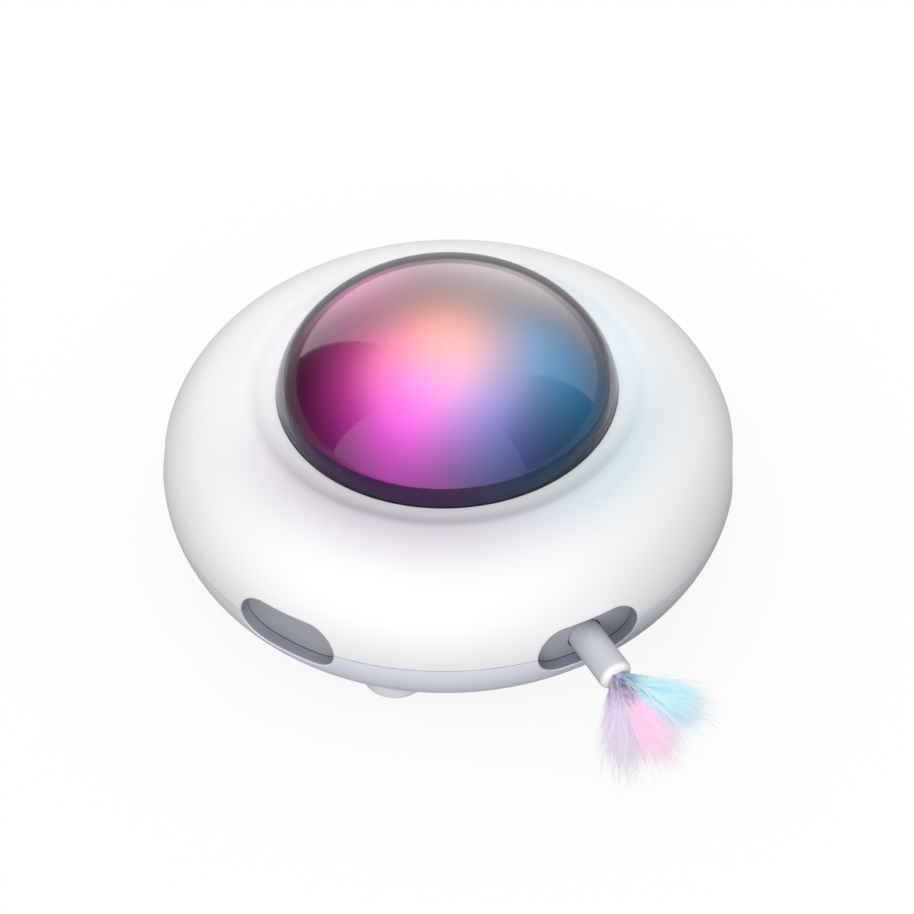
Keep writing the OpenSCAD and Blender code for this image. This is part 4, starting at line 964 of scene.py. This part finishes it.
def painted_dish_glow(paint, place):
    """Painted light: a glow that lifts the dish as the lamps' light leaving the dome's foot would, most
    behind the dome.
    """
    r, blueward, forwards, z = round_dome(paint, place)
    colour = blueward.ramp(-0.1, 0.9).blend(DISH_GLOW_LEFT, DISH_GLOW_RIGHT)
    outer_face = z.ramp(*OUTER_FACE_Z) * r.ramp(*DISH_GLOW_STARTS)
    amount = r.ramp(WELL_R * MM, DISH_GLOW_END, 1.0, 0.0) * forwards.ramp(-0.6, 1.0, 1.0, 0.0) * outer_face
    return amount.blend(BLACK, colour)


shell_top = link_mesh("upper_shell", upper_shell)
sharpen(shell_top)
# The white shell carries painted light and shade round the dome, painted shade in the slots' walls and
# under the dome, and a painted glow in the dish.
put_on(shell_top, moulded_plastic("white_shell", (0.93, 0.93, 0.94), 0.36,
                                  tint=painted_light_and_shade, glow=painted_dish_glow))
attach(shell_top, "base")
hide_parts("top_shell")

# Lamp board: a ring of white coated circuit board, screwed to the upper shell's deck, with small
# coloured lamps soldered to it.
put_on(node_objects["led_board"], solder_mask("white_board", (0.80, 0.80, 0.78)))
put_on(node_objects["led_lamps"],
       moulded_plastic("lamp_body", (0.90, 0.80, 0.50), 0.2, grain=0.05, coat=0.6))


# Bezel: a dark moulded ring on the deck that the diffuser's rim stands on. A painted glow
# in its edge stands for the lamps' light, violet on one side and blue on the other.
BEZEL_GLOW_VIOLET = (0.05, 0.0, 0.08, 1.0)
BEZEL_GLOW_BLUE = (0.0, 0.07, 0.14, 1.0)


def painted_bezel_glow(paint, place):
    """A faint painted glow in the ring's edge, from violet to blue across the dome."""
    x, y, _ = paint.axes(place)
    blueward = x * math.cos(BLUE_SIDE) + y * math.sin(BLUE_SIDE)
    return blueward.ramp(-0.005, 0.030).blend(BEZEL_GLOW_VIOLET, BEZEL_GLOW_BLUE)


put_on(node_objects["dome_bezel"],
       moulded_plastic("bezel_plastic", (0.06, 0.035, 0.07), 0.40, drift=0.08, glow=painted_bezel_glow))

# Frosted diffuser: a thin cap moulded in milky plastic, close under the dome, lit from below by
# the coloured lamps: magenta and violet on one side, blue on the other, peach between.
DOME_FULLNESS = 1.82
DIFFUSER_R = 48.5
DIFFUSER_RISE = 30.5
DIFFUSER_WALL = 1.4
BEZEL_H = 4.4
POLE_WELD = 0.004
MILK_SCALE = 1400.0
MILK_DARK = (0.05, 0.045, 0.06, 1.0)


def dome_arc(radius, rise, low=0.0, steps=48):
    """A quarter of a dome's outline, from a height above its foot to its top."""
    start = math.asin((low / rise) ** (DOME_FULLNESS / 2))
    turns = [start + (math.pi / 2 - start) * i / steps for i in range(steps + 1)]
    power = 2 / DOME_FULLNESS
    return [(radius * max(0.0, math.cos(a)) ** power, rise * math.sin(a) ** power + DISH_Z)
            for a in turns]


def diffuser(bm):
    """A thin cap from the bezel's top up, closed at its rim."""
    outline = dome_arc(DIFFUSER_R, DIFFUSER_RISE, BEZEL_H)
    inside = dome_arc(DIFFUSER_R - DIFFUSER_WALL, DIFFUSER_RISE - DIFFUSER_WALL, BEZEL_H)[::-1]
    spin_profile(bm, outline + inside, closed=True)
    weld(bm, POLE_WELD)


glow = link_mesh("glowing_diffuser", diffuser)
sharpen(glow)
glow_material, paint = new_material("lit_diffuser")
place = paint.node("ShaderNodeTexCoord", out="Object")


def vector_maths(operation, first, second, out=0):
    """One step of arithmetic on vectors in the diffuser's material."""
    return paint.node("ShaderNodeVectorMath", {"operation": operation}, {0: first, 1: second}, out)


def lamp_light(x, y, spread, colour):
    """The light of one lamp on the diffuser, seen from above, fading with distance."""
    offset = vector_maths("SUBTRACT", place, (x * MM, y * MM, 0.0))
    flat = vector_maths("MULTIPLY", offset, (1.0, 1.0, 0.0))
    square = vector_maths("DOT_PRODUCT", flat, flat, "Value")
    amount = paint.maths("EXPONENT", square * (-0.5 / (spread * MM) ** 2))
    return paint.node("ShaderNodeVectorMath", {"operation": "SCALE"}, {0: colour, "Scale": amount})


# Each lamp's place on the diffuser, the spread of its light and its colour.
LAMPS = (
    (-25.0, 40.0, 22.0, (1.76, 1.67, 1.47)),
    (-34.0, -13.5, 13.5, (1.50, 0.46, 0.84)),
    (14.2, -7.0, 13.2, (1.95, 0.93, 0.52)),
    (25.0, -25.0, 10.0, (1.20, 0.02, 1.16)),
    (6.5, -25.5, 11.2, (0.88, 0.00, 0.46)),
    (33.0, -6.0, 10.0, (0.00, 0.25, 0.94)),
    (24.5, 18.0, 11.5, (0.00, 0.49, 0.92)),
)
light = lamp_light(*LAMPS[0])
for lamp in LAMPS[1:]:
    light = vector_maths("ADD", light, lamp_light(*lamp))
milk = noise(paint, place, MILK_SCALE)
surface = paint.node("ShaderNodeBsdfPrincipled", sockets={
    "Base Color": MILK_DARK, "Roughness": 0.55 + milk * 0.15,
    "Emission Color": light, "Emission Strength": 1.0})
paint.node("ShaderNodeOutputMaterial", sockets={"Surface": surface})
put_on(glow, glow_material)
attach(glow, "base")
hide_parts("light_diffuser")

# Smoked dome: a polished shell of tinted polycarbonate that stands in the upper
# shell's well. It darkens what lies behind it, most where it is seen along its wall.
DOME_R = 51.3
DOME_RISE = 33.3
DOME_WALL = 2.3
DOME_FOOT_Z = DISH_Z - 2.2
DOME_CHAMFER = 0.3
DOME_STEPS = 192
SMOKE = (0.30, 0.22, 0.34, 1.0)
SMOKE_DENSITY = 390.0
POLISH_SCALE = 60.0


def smoked_dome(bm):
    """The dome's wall: a foot with a chamfered edge in the well, then the outer and inner faces."""
    foot = [(DOME_R - DOME_CHAMFER, DOME_FOOT_Z), (DOME_R, DOME_FOOT_Z + DOME_CHAMFER)]
    inside = dome_arc(DOME_R - DOME_WALL, DOME_RISE - DOME_WALL)[::-1]
    inside += [(DOME_R - DOME_WALL, DOME_FOOT_Z)]
    spin_profile(bm, foot + dome_arc(DOME_R, DOME_RISE) + inside, DOME_STEPS, closed=True)
    weld(bm, POLE_WELD)


dome = link_mesh("smoked_dome_shell", smoked_dome)
sharpen(dome)
dome_material, paint = new_material("smoked_clear")
place = paint.node("ShaderNodeTexCoord", out="Object")
polish = noise(paint, place, POLISH_SCALE, 3.0)
surface = paint.node("ShaderNodeBsdfPrincipled", sockets={
    "Base Color": WHITE, "Roughness": 0.005 + polish * 0.02, "IOR": 1.49, "Transmission Weight": 1.0})
smoke = paint.node("ShaderNodeVolumeAbsorption", sockets={"Color": SMOKE, "Density": SMOKE_DENSITY})
paint.node("ShaderNodeOutputMaterial", sockets={"Surface": surface, "Volume": smoke})
put_on(dome, dome_material)
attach(dome, "base")
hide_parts("smoked_dome")
